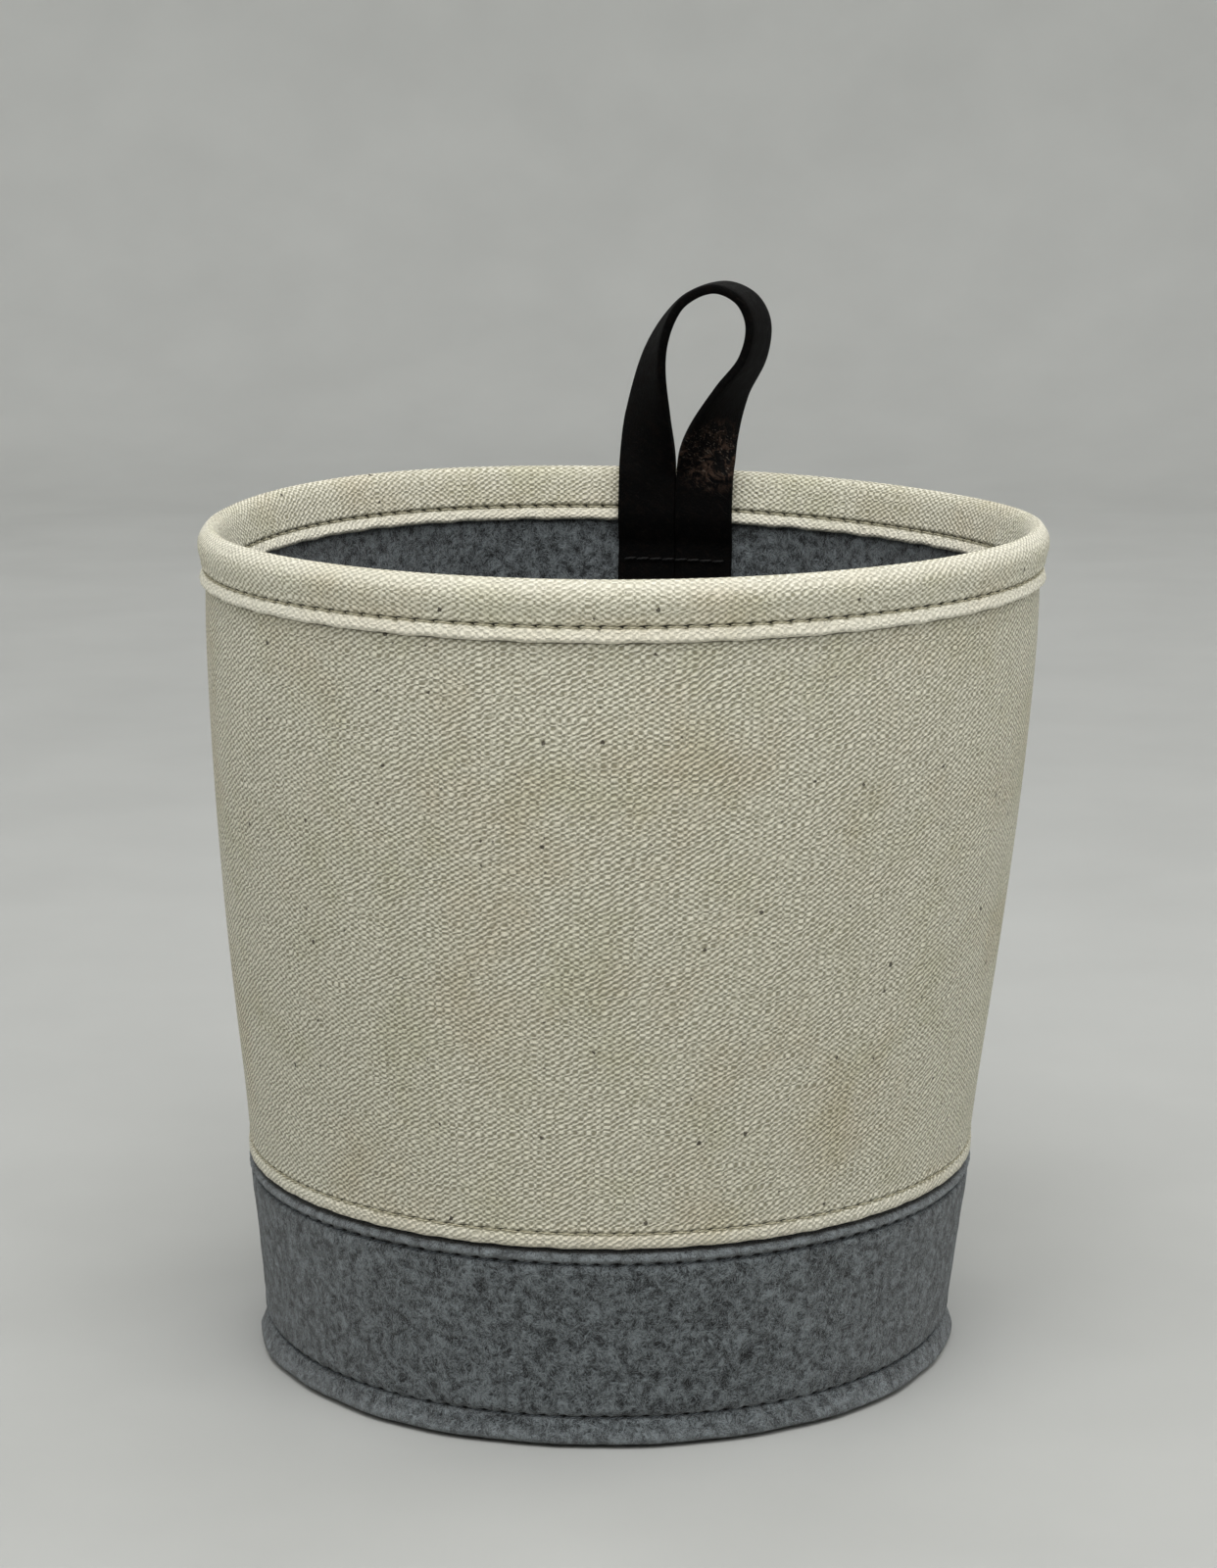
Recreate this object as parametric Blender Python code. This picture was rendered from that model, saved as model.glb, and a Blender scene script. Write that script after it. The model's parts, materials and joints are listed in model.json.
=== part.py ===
"""Round canvas and felt storage bucket with a leather hanging loop, as one object per sewn piece.

Frame: metres, +Z up, origin on the floor at the centre of the foot, the loop at the back (+Y).
Every piece is a turned or swept solid that nests on its neighbour with a small clearance.
"""

import math

import bmesh
import bpy
from mathutils import Vector

# Overall sizes
RIM_RADIUS = 0.0925
HEIGHT = 0.1850
HEM_RADIUS = 0.0805
HEM_HEIGHT = 0.0445
WAIST_RADIUS = 0.0762
FOOT_RADIUS = 0.0778

# Materials as bought
CANVAS = 0.0008
FELT = 0.0028
STRAP_WIDTH = 0.0137
STRAP_THICKNESS = 0.0022
THREAD = 0.0005
CLEARANCE = 0.0003

# Sewing allowances
BINDING_DEPTH = 0.0124
LIP_DEPTH = 0.0031
ROLL_BULGE = 0.0007
HEM_ALLOWANCE = 0.0110
HEM_STITCH_RISE = 0.0034
BAND_STITCH_DROP = 0.0035
BAND_PUFF = 0.0006
FLANGE = 0.0064
TAPE_WIDTH = 0.0120
TAPE_ROW_INSET = 0.0020
ZIGZAG_WIDTH = 0.0030
ZIGZAG_PITCH = 0.0030
BUTT_GAP = 0.0004

# How the wall swells from the hem to the top
TAPER_EASE = 1.2
SHOULDER_SHARE = 0.88

# Leather loop
STRAP_TAIL = 0.0200
STRAP_ROWS = (0.0050, 0.0110)
HINGE_RISE = 0.0025
HINGE_GAP = 0.0024
LOOP_RISE = 0.0414
LOOP_LEAN = 0.0096
LOOP_STATIONS = 44
TWIST_HASTE_LEFT = 1.9
TWIST_HASTE_RIGHT = 2.8

SEGMENTS = 48
THREAD_SIDES = 4
WALL_STEPS = 8
BACK = math.pi / 2

# Each finish: linear colour, roughness
FINISHES = {
    "canvas": ((0.50, 0.46, 0.36), 0.92),
    "canvas_thread": ((0.52, 0.48, 0.38), 0.80),
    "felt": ((0.125, 0.135, 0.145), 0.97),
    "felt_thread": ((0.040, 0.043, 0.047), 0.80),
    "leather": ((0.0065, 0.0050, 0.0045), 0.42),
    "leather_thread": ((0.012, 0.012, 0.012), 0.60),
}


# ---- where things are --------------------------------------------------------------------------

HEM_TOP = HEM_HEIGHT + HEM_ALLOWANCE
HEM_STITCH = HEM_HEIGHT + HEM_STITCH_RISE
BAND_STITCH = HEM_HEIGHT - BAND_STITCH_DROP
LIP_EDGE = HEIGHT - BINDING_DEPTH
RIM_STITCH = LIP_EDGE + LIP_DEPTH
SHELL_TOP_RADIUS = RIM_RADIUS - ROLL_BULGE - CANVAS - CLEARANCE
ROLL_HALF = (CANVAS + FELT + 3 * CLEARANCE) / 2
ROLL_CENTRE = HEIGHT - CANVAS - ROLL_HALF
WALL_TOP = ROLL_CENTRE + 2 * CLEARANCE
BASE_TOP = FLANGE + FELT
LINER_FOOT = BASE_TOP + CLEARANCE
HINGE_HEIGHT = HEIGHT + HINGE_RISE


def wall_radius(z):
    """Outer radius of the canvas wall, swelling from the hem up to a straight shoulder."""
    shoulder = HEM_HEIGHT + (HEIGHT - HEM_HEIGHT) * SHOULDER_SHARE
    share = min(max((z - HEM_HEIGHT) / (shoulder - HEM_HEIGHT), 0.0), 1.0)
    return HEM_RADIUS + (SHELL_TOP_RADIUS - HEM_RADIUS) * math.sin(BACK * share**TAPER_EASE)


def band_radius(z):
    """Outer radius of the felt band: a puffed top, a straight taper, a waist, a flared flange."""
    if z <= FLANGE:
        return FOOT_RADIUS + (WAIST_RADIUS - FOOT_RADIUS) * math.sin(BACK * z / FLANGE)
    share = (z - FLANGE) / (BAND_STITCH - FLANGE)
    straight = WAIST_RADIUS + (HEM_RADIUS - WAIST_RADIUS) * min(share, 1.0)
    if z <= BAND_STITCH:
        return straight
    puff = math.sin(math.pi * (z - BAND_STITCH) / (HEM_HEIGHT - BAND_STITCH))
    return straight + BAND_PUFF * puff


def liner_profile():
    """Outer face of the felt liner, which steps in behind the turned-up hem and again behind the band."""
    hem_ply = CANVAS + CLEARANCE
    behind_band = FELT + CLEARANCE
    points = [(band_radius(z) - behind_band, z) for z in levels(LINER_FOOT, BAND_STITCH, 3)]
    points.append((points[-1][0] + CLEARANCE, HEM_HEIGHT))
    points += [(wall_radius(z) - 2 * hem_ply, z) for z in (HEM_STITCH, HEM_TOP)]
    upper = [HEM_TOP + 2 * CANVAS] + wall_stations(HEM_TOP + 3 * CANVAS, WALL_TOP)
    return points + [(wall_radius(z) - hem_ply, z) for z in upper]


def liner_radius(z):
    """Outer radius of the felt liner at a height, straight between the points of its profile."""
    points = liner_profile()
    for (r_low, z_low), (r_high, z_high) in zip(points, points[1:]):
        if z <= z_high:
            return r_low + (r_high - r_low) * (z - z_low) / (z_high - z_low)
    return points[-1][0]


def rim_inner_radius():
    """Inner radius of the binding where it is stitched through the liner."""
    return liner_radius(RIM_STITCH) - FELT - CLEARANCE - CANVAS


def strap_back_radius(z):
    """Radius of the strap's back face: on the liner below, over the binding and its thread above."""
    over_rim = rim_inner_radius() - 2 * CLEARANCE - THREAD
    on_liner = liner_radius(z) - FELT - CLEARANCE
    climb_start = LIP_EDGE - 0.0035
    share = min(max((z - climb_start) / (LIP_EDGE - 0.0010 - climb_start), 0.0), 1.0)
    return min(on_liner, on_liner + (over_rim - on_liner) * share)


def levels(low, high, count):
    """Evenly spaced heights from low to high, both included."""
    return [low + (high - low) * i / count for i in range(count + 1)]


def wall_stations(low, high):
    """Heights above low where every layer of the wall has a corner, and high itself."""
    shared = levels(HEM_TOP, WALL_TOP, WALL_STEPS)
    return [z for z in shared if low < z < high] + [high]


# ---- solids ------------------------------------------------------------------------------------


def finish(name):
    """One Principled material for each finish, made once."""
    found = bpy.data.materials.get(name)
    if found:
        return found
    colour, roughness = FINISHES[name]
    made = bpy.data.materials.new(name)
    made.use_nodes = True
    shader = made.node_tree.nodes["Principled BSDF"]
    shader.inputs["Base Color"].default_value = (*colour, 1.0)
    shader.inputs["Roughness"].default_value = roughness
    shader.inputs["Metallic"].default_value = 0.0
    return made


def add_object(name, mesh_builder, material):
    """A named object from a bmesh, with its normals outward and its finish on."""
    bmesh.ops.remove_doubles(mesh_builder, verts=mesh_builder.verts, dist=1e-7)
    bmesh.ops.recalc_face_normals(mesh_builder, faces=mesh_builder.faces)
    mesh = bpy.data.meshes.new(name)
    mesh_builder.to_mesh(mesh)
    mesh_builder.free()
    mesh.shade_smooth()
    mesh.set_sharp_from_angle(angle=math.radians(35))
    mesh.materials.append(finish(material))
    made = bpy.data.objects.new(name, mesh)
    bpy.context.scene.collection.objects.link(made)
    return made


def turned(name, profile, material, arc=None, steps=SEGMENTS):
    """A closed (radius, height) profile spun about Z: a full ring, or an arc from one angle to another."""
    solid = bmesh.new()
    start, end = arc or (BACK, BACK + math.tau)
    points = [
        solid.verts.new((r * math.cos(start), r * math.sin(start), z)) for r, z in profile
    ]
    edges = [solid.edges.new((a, b)) for a, b in zip(points, points[1:] + points[:1])]
    spun = bmesh.ops.spin(
        solid,
        geom=points + edges,
        cent=(0, 0, 0),
        axis=(0, 0, 1),
        angle=end - start,
        steps=steps,
        use_merge=arc is None,
    )
    if arc:
        far_edges = [item for item in spun["geom_last"] if isinstance(item, bmesh.types.BMEdge)]
        for end_edges in (edges, far_edges):
            bmesh.ops.contextual_create(solid, geom=end_edges)
    return add_object(name, solid, material)


def thread_ring(name, radius, height, material):
    """One row of stitching around the bucket, as a thread laid on the surface."""
    profile = [
        (
            radius + THREAD / 2 * math.cos(math.tau * i / THREAD_SIDES),
            height + THREAD / 2 * math.sin(math.tau * i / THREAD_SIDES),
        )
        for i in range(THREAD_SIDES)
    ]
    return turned(name, profile, material)


def swept(name, stations, material, origin=(0, 0, 0)):
    """A solid through a list of closed sections, capped at both ends, with its mesh kept about origin."""
    solid = bmesh.new()
    rings = [[solid.verts.new(Vector(p) - Vector(origin)) for p in ring] for ring in stations]
    for ring, after in zip(rings, rings[1:]):
        for i in range(len(ring)):
            j = (i + 1) % len(ring)
            solid.faces.new((ring[i], ring[j], after[j], after[i]))
    solid.faces.new(rings[0][::-1])
    solid.faces.new(rings[-1])
    return add_object(name, solid, material)


def thread_path(name, points, outward, material):
    """A thread through points that lie on the bucket's surface, each with its outward direction."""
    stations = []
    for i, (point, out) in enumerate(zip(points, outward)):
        ahead = points[min(i + 1, len(points) - 1)] - points[max(i - 1, 0)]
        side = ahead.cross(out).normalized() * (THREAD / 2)
        lift = out.normalized() * (THREAD / 2)
        stations.append([point + side, point + lift, point - side, point - lift])
    return swept(name, stations, material)


def on_wall(radius, angle, z):
    """A point on a cylinder about Z, and the outward direction there."""
    out = Vector((math.cos(angle), math.sin(angle), 0))
    return out * radius + Vector((0, 0, z)), out


# ---- the pieces --------------------------------------------------------------------------------


def open_back(radius):
    """The arc of a panel whose ends butt at the back, leaving only the butt gap."""
    half = BUTT_GAP / 2 / radius
    return (BACK + half, BACK + math.tau - half)


def felt_liner():
    """Inner felt wall, from the base disc to inside the binding, its ends butted at the back."""
    profile = liner_profile()
    profile += [(r - FELT, z) for r, z in reversed(profile)]
    turned("felt_liner", profile, "felt", arc=open_back(HEM_RADIUS))


def liner_seam_thread():
    """Zigzag that joins the liner's butted ends on the inside, below the strap's tails."""
    top = LIP_EDGE - STRAP_TAIL - 2 * THREAD - CLEARANCE
    bottom = HEM_STITCH + 3 * THREAD
    zigzag("liner_seam_thread", bottom, top, lambda z: liner_radius(z) - FELT - CLEARANCE - THREAD / 2)


def zigzag(name, bottom, top, radius):
    """A zigzag thread up the back, swinging from side to side of the butted edges."""
    count = int((top - bottom) / ZIGZAG_PITCH)
    points, outward = [], []
    for i in range(count + 1):
        z = bottom + i * ZIGZAG_PITCH
        swing = (1 if i % 2 else -1) * ZIGZAG_WIDTH / 2
        point, out = on_wall(radius(z), BACK + swing / radius(z), z)
        points.append(point)
        outward.append(out)
    thread_path(name, points, outward, "felt_thread")


def canvas_shell():
    """Outer canvas wall: its lower edge is folded up inside as a hem, its ends butt at the back."""
    up = levels(HEM_HEIGHT, HEM_TOP, 2) + wall_stations(HEM_TOP, WALL_TOP)
    outer = [(wall_radius(z), z) for z in up]
    inner = [(wall_radius(z) - CANVAS, z) for z in reversed(up) if z > HEM_HEIGHT + CANVAS]
    fold_root = (wall_radius(HEM_HEIGHT + CANVAS) - CANVAS, HEM_HEIGHT + CANVAS)
    ply = CANVAS + CLEARANCE
    ply_outer = [
        (wall_radius(z) - ply, z) for z in levels(HEM_HEIGHT + CANVAS, HEM_TOP, 2)
    ]
    ply_inner = [
        (wall_radius(z) - ply - CANVAS, z) for z in reversed(levels(HEM_HEIGHT, HEM_TOP, 2))
    ]
    profile = outer + inner + [fold_root] + ply_outer + ply_inner
    turned("canvas_shell", profile, "canvas", arc=open_back(HEM_RADIUS))


def back_seam_tape():
    """Canvas tape that covers the shell's butted ends, with a row of stitching along each edge."""
    low, high = HEM_STITCH + 2 * THREAD, LIP_EDGE - 2 * CLEARANCE
    ply = CANVAS + CLEARANCE
    half = TAPE_WIDTH / 2 / HEM_RADIUS
    up = [low] + wall_stations(low, high)
    profile = [(wall_radius(z) + ply, z) for z in up]
    profile += [(r - CANVAS, z) for r, z in reversed(profile)]
    turned("back_seam_tape", profile, "canvas", arc=(BACK - half, BACK + half), steps=4)
    thread_low, thread_high = low + 2 * THREAD, high - 2 * THREAD
    row = (TAPE_WIDTH / 2 - TAPE_ROW_INSET) / HEM_RADIUS
    for side, name in ((1, "tape_thread_left"), (-1, "tape_thread_right")):
        pairs = [
            on_wall(wall_radius(z) + ply + CLEARANCE + THREAD / 2, BACK + side * row, z)
            for z in [thread_low] + wall_stations(thread_low, thread_high)
        ]
        thread_path(name, [p for p, _ in pairs], [out for _, out in pairs], "canvas_thread")


def rim_binding():
    """Canvas strip folded over the top edges of shell and liner, rolled on top, with a lip at each edge."""
    half, crown = ROLL_HALF, ROLL_CENTRE
    middle = SHELL_TOP_RADIUS + CLEARANCE - half
    lip_flare = ROLL_BULGE / 2

    def leaf(side):
        """Outside of one leaf from its lip up to the roll; side is 1 outside and -1 inside."""
        face = half + CANVAS
        return [
            (middle + side * (face + lip_flare), LIP_EDGE),
            (middle + side * (face + lip_flare), LIP_EDGE + LIP_DEPTH / 2),
            (middle + side * face, RIM_STITCH),
            (middle + side * (face + ROLL_BULGE), (RIM_STITCH + crown) / 2 + CANVAS),
        ]

    def arch(radius, bulge, count):
        """The rolled top, from the outer side over to the inner side."""
        turns = [math.pi * i / count for i in range(1, count)]
        return [
            (middle + (radius + bulge) * math.cos(a), crown + radius * math.sin(a)) for a in turns
        ]

    outside = leaf(1) + arch(half + CANVAS, ROLL_BULGE / 2, 6) + leaf(-1)[::-1]
    inside = [(middle - half, LIP_EDGE), (middle - half, crown)]
    inside += arch(half, 0, 6)[::-1]
    inside += [(middle + half, crown), (middle + half, LIP_EDGE)]
    turned("rim_binding", outside + inside, "canvas")


def felt_base_band():
    """Felt band around the foot: its top puffs out under the hem, its bottom is the outer flange."""
    low_part = levels(0, FLANGE, 2)
    straight = levels(FLANGE, BAND_STITCH, 3)[1:]
    puffed = levels(BAND_STITCH, HEM_HEIGHT - CLEARANCE, 4)[1:]
    up = low_part + straight + puffed
    outer = [(band_radius(z), z) for z in up]
    inner = [(band_radius(min(z, BAND_STITCH)) - FELT, z) for z in reversed(up)]
    turned("felt_base_band", outer + inner, "felt", arc=open_back(HEM_RADIUS))


def felt_base_disc():
    """Round felt base whose edge is turned down inside the band's flange."""

    def skirt(z):
        return band_radius(z) - FELT - CLEARANCE

    corner = FELT / 3
    outer = [(skirt(z), z) for z in levels(0, FLANGE, 2)]
    outer += [(skirt(FLANGE), BASE_TOP - corner), (skirt(FLANGE) - corner, BASE_TOP)]
    inner = [(skirt(FLANGE) - FELT, FLANGE)]
    inner += [(skirt(z) - FELT, z) for z in (FLANGE / 2, 0)]
    profile = outer + [(0, BASE_TOP), (0, FLANGE)] + inner
    solid = bmesh.new()
    points = [solid.verts.new((0, r, z)) for r, z in profile]
    edges = [solid.edges.new(pair) for pair in zip(points, points[1:])]
    edges.append(solid.edges.new((points[-1], points[0])))
    axis_edge = next(e for e in edges if all(v.co.y == 0 for v in e.verts))
    edges.remove(axis_edge)
    solid.edges.remove(axis_edge)
    bmesh.ops.spin(
        solid,
        geom=points + edges,
        cent=(0, 0, 0),
        axis=(0, 0, 1),
        angle=math.tau,
        steps=SEGMENTS,
        use_merge=True,
    )
    add_object("felt_base_disc", solid, "felt")


def stitch_rows():
    """The needle thread outside and the bobbin thread inside, for each row around the bucket."""
    off = CLEARANCE + THREAD / 2

    def lining(z):
        return liner_radius(z) - FELT - off

    rim_outer = SHELL_TOP_RADIUS + CLEARANCE + CANVAS
    thread_ring("rim_thread_outer", rim_outer + off, RIM_STITCH, "canvas_thread")
    thread_ring("rim_thread_inner", rim_inner_radius() - off, RIM_STITCH, "canvas_thread")
    thread_ring("hem_thread_outer", wall_radius(HEM_STITCH) + off, HEM_STITCH, "canvas_thread")
    thread_ring("hem_thread_inner", lining(HEM_STITCH), HEM_STITCH, "felt_thread")
    thread_ring("band_thread_outer", band_radius(BAND_STITCH) + off, BAND_STITCH, "felt_thread")
    thread_ring("band_thread_inner", lining(BAND_STITCH), BAND_STITCH, "felt_thread")
    thread_ring("base_thread_outer", band_radius(FLANGE) + off, FLANGE, "felt_thread")
    skirt_inner = band_radius(FLANGE / 2) - 2 * FELT - CLEARANCE
    thread_ring("base_thread_inner", skirt_inner - off, FLANGE / 2, "felt_thread")


def strap_ends():
    """The strap's two sewn tails, side by side on the liner, and the two rows that hold them."""
    low, high = LIP_EDGE - STRAP_TAIL, HINGE_HEIGHT - HINGE_GAP
    climb = levels(LIP_EDGE - 0.0035, LIP_EDGE - 0.0010, 1)
    up = levels(low, climb[0], 2)[:-1] + climb + levels(climb[1], high, 2)[1:]
    back = strap_back_radius(high)
    inner_edge, outer_edge = CLEARANCE / 2 / back, (CLEARANCE / 2 + STRAP_WIDTH) / back
    for side, name in ((1, "strap_end_left"), (-1, "strap_end_right")):
        profile = [(strap_back_radius(z), z) for z in up]
        profile += [(r - STRAP_THICKNESS, z) for r, z in reversed(profile)]
        arc = (BACK + side * inner_edge, BACK + side * outer_edge)
        turned(name, profile, "leather", arc=arc, steps=4)
    for rise, name in zip(STRAP_ROWS, ("strap_thread_lower", "strap_thread_upper")):
        z = low + rise
        radius = strap_back_radius(z) - STRAP_THICKNESS - CLEARANCE - THREAD / 2
        half = outer_edge * 0.86
        pairs = [on_wall(radius, BACK + half * (i / 4 - 1), z) for i in range(9)]
        thread_path(name, [p for p, _ in pairs], [out for _, out in pairs], "leather_thread")


def loop_line(hinge_y):
    """Centre line of the loop from its left root over the top to its right root, as points and tangents.

    The knots lean to the right, as the sewn loop does. Each is a sideways place, measured from the
    leg it belongs to, and a share of the loop's rise.
    """
    leg = (STRAP_WIDTH + CLEARANCE) / 2
    left = [(0.0, 0.0), (-0.0002, 0.25), (0.0013, 0.62), (0.0050, 0.83)]
    right = [(0.0119, 0.81), (0.0110, 0.61), (0.0060, 0.40), (0.0014, 0.16), (0.0, 0.0)]
    knots = [(x - leg, share) for x, share in left]
    knots += [(LOOP_LEAN, 1.0)]
    knots += [(x + leg, share) for x, share in right]
    places = [Vector((x, hinge_y, HINGE_HEIGHT + LOOP_RISE * share)) for x, share in knots]
    return smooth_curve(places, LOOP_STATIONS)


def smooth_curve(knots, count):
    """Evenly spaced points and tangents on a Catmull-Rom curve through the knots."""
    first = knots[0] - Vector((0, 0, (knots[1] - knots[0]).length))
    last = knots[-1] - Vector((0, 0, (knots[-1] - knots[-2]).length))
    padded = [first, *knots, last]
    fine = []
    for a, b, c, d in zip(padded, padded[1:], padded[2:], padded[3:]):
        for i in range(16):
            t = i / 16
            fine.append(
                0.5
                * (
                    2 * b
                    + (c - a) * t
                    + (2 * a - 5 * b + 4 * c - d) * t**2
                    + (3 * b - a - 3 * c + d) * t**3
                )
            )
    fine.append(knots[-1])
    walked = [0.0]
    for a, b in zip(fine, fine[1:]):
        walked.append(walked[-1] + (b - a).length)
    points, k = [], 0
    for i in range(count + 1):
        want = walked[-1] * i / count
        while k < len(walked) - 2 and walked[k + 1] < want:
            k += 1
        share = (want - walked[k]) / (walked[k + 1] - walked[k])
        points.append(fine[k].lerp(fine[k + 1], share))
    up = Vector((0, 0, 1))
    tangents = [(b - a).normalized() for a, b in zip(points, points[2:])]
    tangents = [up, *tangents, -up]
    return points, tangents


def ribbon_section(point, tangent, twist, thickness):
    """The four corners of the strap: face inward at twist 0, edge inward at a quarter turn."""
    inward = Vector((0, -1, 0))
    outward = inward.cross(tangent).normalized()
    across = -outward * math.cos(twist) + inward * math.sin(twist)
    grain = inward * math.cos(twist) + outward * math.sin(twist)
    half_width, half_thick = across * STRAP_WIDTH / 2, grain * thickness / 2
    return [
        point + half_width + half_thick,
        point + half_width - half_thick,
        point - half_width - half_thick,
        point - half_width + half_thick,
    ]


def strap_loop():
    """The free loop above the rim. It twists a quarter turn each side and bends on the rim line."""
    hinge_y = strap_back_radius(HEIGHT) - STRAP_THICKNESS / 2
    points, tangents = loop_line(hinge_y)
    top = max(range(len(points)), key=lambda i: points[i].z)
    stations = []
    nose = [math.radians(a) for a in (80, 45)]

    def nose_sections(root, tangent, order):
        """Rounded end of a leg, centred on the hinge line."""
        made = []
        for a in order:
            drop = Vector((0, 0, -STRAP_THICKNESS / 2 * math.sin(a)))
            made.append(ribbon_section(root + drop, tangent, 0, STRAP_THICKNESS * math.cos(a)))
        return made

    stations += nose_sections(points[0], tangents[0], nose)
    for i, (point, tangent) in enumerate(zip(points, tangents)):
        if i <= top:
            share, haste = i / top, TWIST_HASTE_LEFT
        else:
            share, haste = (len(points) - 1 - i) / (len(points) - 1 - top), TWIST_HASTE_RIGHT
        twist = BACK * (1 - (1 - share) ** haste)
        stations.append(ribbon_section(point, tangent, twist, STRAP_THICKNESS))
    stations += nose_sections(points[-1], tangents[-1], nose[::-1])
    pivot = bpy.data.objects.new("loop_pivot", None)
    pivot.location = (0, hinge_y, HINGE_HEIGHT)
    bpy.context.scene.collection.objects.link(pivot)
    made = swept("strap_loop", stations, "leather", origin=pivot.location)
    made.parent = pivot


def main():
    for obj in list(bpy.data.objects):
        bpy.data.objects.remove(obj)
    felt_liner()
    liner_seam_thread()
    canvas_shell()
    back_seam_tape()
    rim_binding()
    felt_base_band()
    zigzag(
        "band_seam_thread",
        FLANGE + 4 * THREAD,
        BAND_STITCH - 3 * THREAD,
        lambda z: band_radius(z) + CLEARANCE + THREAD / 2,
    )
    felt_base_disc()
    stitch_rows()
    strap_ends()
    strap_loop()


main()
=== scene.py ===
"""Studio scene of a round canvas and felt storage bucket with a leather hanging loop.

Every cloth, thread and leather surface is made here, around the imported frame: sections are turned
or swept into closed pieces, then pinched at their seams and settled into the bucket's soft stance.
"""

import json
import logging
import math
from collections.abc import Callable, Sequence
from dataclasses import dataclass, field
from enum import Enum

import bmesh
import bpy
import numpy as np
from mathutils import Matrix, Vector, noise


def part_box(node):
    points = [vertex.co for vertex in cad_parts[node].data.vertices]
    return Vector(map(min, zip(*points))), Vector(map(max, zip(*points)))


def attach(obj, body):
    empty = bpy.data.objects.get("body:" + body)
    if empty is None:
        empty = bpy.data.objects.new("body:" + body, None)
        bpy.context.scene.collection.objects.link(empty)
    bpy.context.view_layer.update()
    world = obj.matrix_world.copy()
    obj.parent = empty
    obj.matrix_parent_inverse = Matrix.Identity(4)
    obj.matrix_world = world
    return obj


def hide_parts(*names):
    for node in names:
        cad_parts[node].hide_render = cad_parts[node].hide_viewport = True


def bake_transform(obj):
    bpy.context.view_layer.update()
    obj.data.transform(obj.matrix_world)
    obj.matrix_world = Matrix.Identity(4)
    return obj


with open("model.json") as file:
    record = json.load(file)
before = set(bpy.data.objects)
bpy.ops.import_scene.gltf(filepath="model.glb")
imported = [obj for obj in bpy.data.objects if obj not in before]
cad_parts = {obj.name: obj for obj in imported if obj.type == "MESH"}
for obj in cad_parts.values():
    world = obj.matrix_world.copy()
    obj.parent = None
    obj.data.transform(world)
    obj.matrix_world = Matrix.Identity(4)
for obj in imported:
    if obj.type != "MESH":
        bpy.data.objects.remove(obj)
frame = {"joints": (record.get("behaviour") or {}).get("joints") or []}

log = logging.getLogger("bucket")

MM = 0.001
BACK = math.pi / 2
SECTORS = 12
WELD = 0.000002

Profile = list[tuple[float, float]]
Shaper = Callable[[np.ndarray, np.ndarray, np.ndarray], np.ndarray]
Colour = tuple[float, float, float, float] | bpy.types.NodeSocket

FLAT = {"noise_dimensions": "2D"}


class Side(Enum):
    """Face of the bucket's wall that a row of stitches shows on."""

    OUTSIDE = 1
    INSIDE = -1


# ---- small helpers -----------------------------------------------------------------------------


def linear(hex_code: str) -> tuple[float, float, float, float]:
    """Turn an sRGB hex colour into a linear one.

    Args:
        hex_code: colour as "#rrggbb".

    Returns:
        Linear red, green, blue and an alpha of 1.
    """
    parts = [int(hex_code[i : i + 2], 16) / 255 for i in (1, 3, 5)]
    made = [c / 12.92 if c <= 0.04045 else ((c + 0.055) / 1.055) ** 2.4 for c in parts]
    return (made[0], made[1], made[2], 1.0)


def node(
    tree: bpy.types.NodeTree,
    kind: str,
    settings: dict[str, object] | None = None,
    inputs: dict[int | str, object] | None = None,
) -> bpy.types.Node:
    """Add a node with its settings and links.

    Args:
        tree: node tree to add to.
        kind: node type's identifier.
        settings: node properties by name.
        inputs: values, or output sockets to link, by input name or index.

    Returns:
        The new node.
    """
    made = tree.nodes.new(kind)
    for name, value in (settings or {}).items():
        setattr(made, name, value)
    for key, value in (inputs or {}).items():
        if isinstance(value, bpy.types.NodeSocket):
            tree.links.new(value, made.inputs[key])
        else:
            made.inputs[key].default_value = value
    return made


def spline(knots: Sequence[Sequence[float]], step: float) -> np.ndarray:
    """Sample a smooth curve through knots at an even spacing.

    Args:
        knots: points of any dimension that the curve passes through.
        step: spacing of the samples, in the knots' unit.

    Returns:
        Array of points from the first knot to the last.
    """
    points = np.asarray(knots, float)
    padded = np.vstack([2 * points[0] - points[1], points, 2 * points[-1] - points[-2]])
    pieces = []
    for a, b, c, d in zip(padded, padded[1:], padded[2:], padded[3:]):
        t = np.linspace(0, 1, 24, endpoint=False)[:, None]
        # centripetal-like tangents keep uneven knots from swinging past each other
        before, along, after = (np.linalg.norm(q - p) + 1e-12 for p, q in ((a, b), (b, c), (c, d)))
        start = along * ((b - a) / before + (c - b) / along) / 2
        end = along * ((c - b) / along + (d - c) / after) / 2
        t2, t3 = t**2, t**3
        pieces.append(
            (2 * t3 - 3 * t2 + 1) * b + (t3 - 2 * t2 + t) * start
            + (3 * t2 - 2 * t3) * c + (t3 - t2) * end
        )
    fine = np.vstack([*pieces, points[-1]])
    walked = np.concatenate([[0], np.cumsum(np.linalg.norm(np.diff(fine, axis=0), axis=1))])
    at = np.linspace(0, walked[-1], max(2, round(walked[-1] / step)) + 1)
    return np.stack([np.interp(at, walked, fine[:, k]) for k in range(fine.shape[1])], axis=1)


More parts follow.
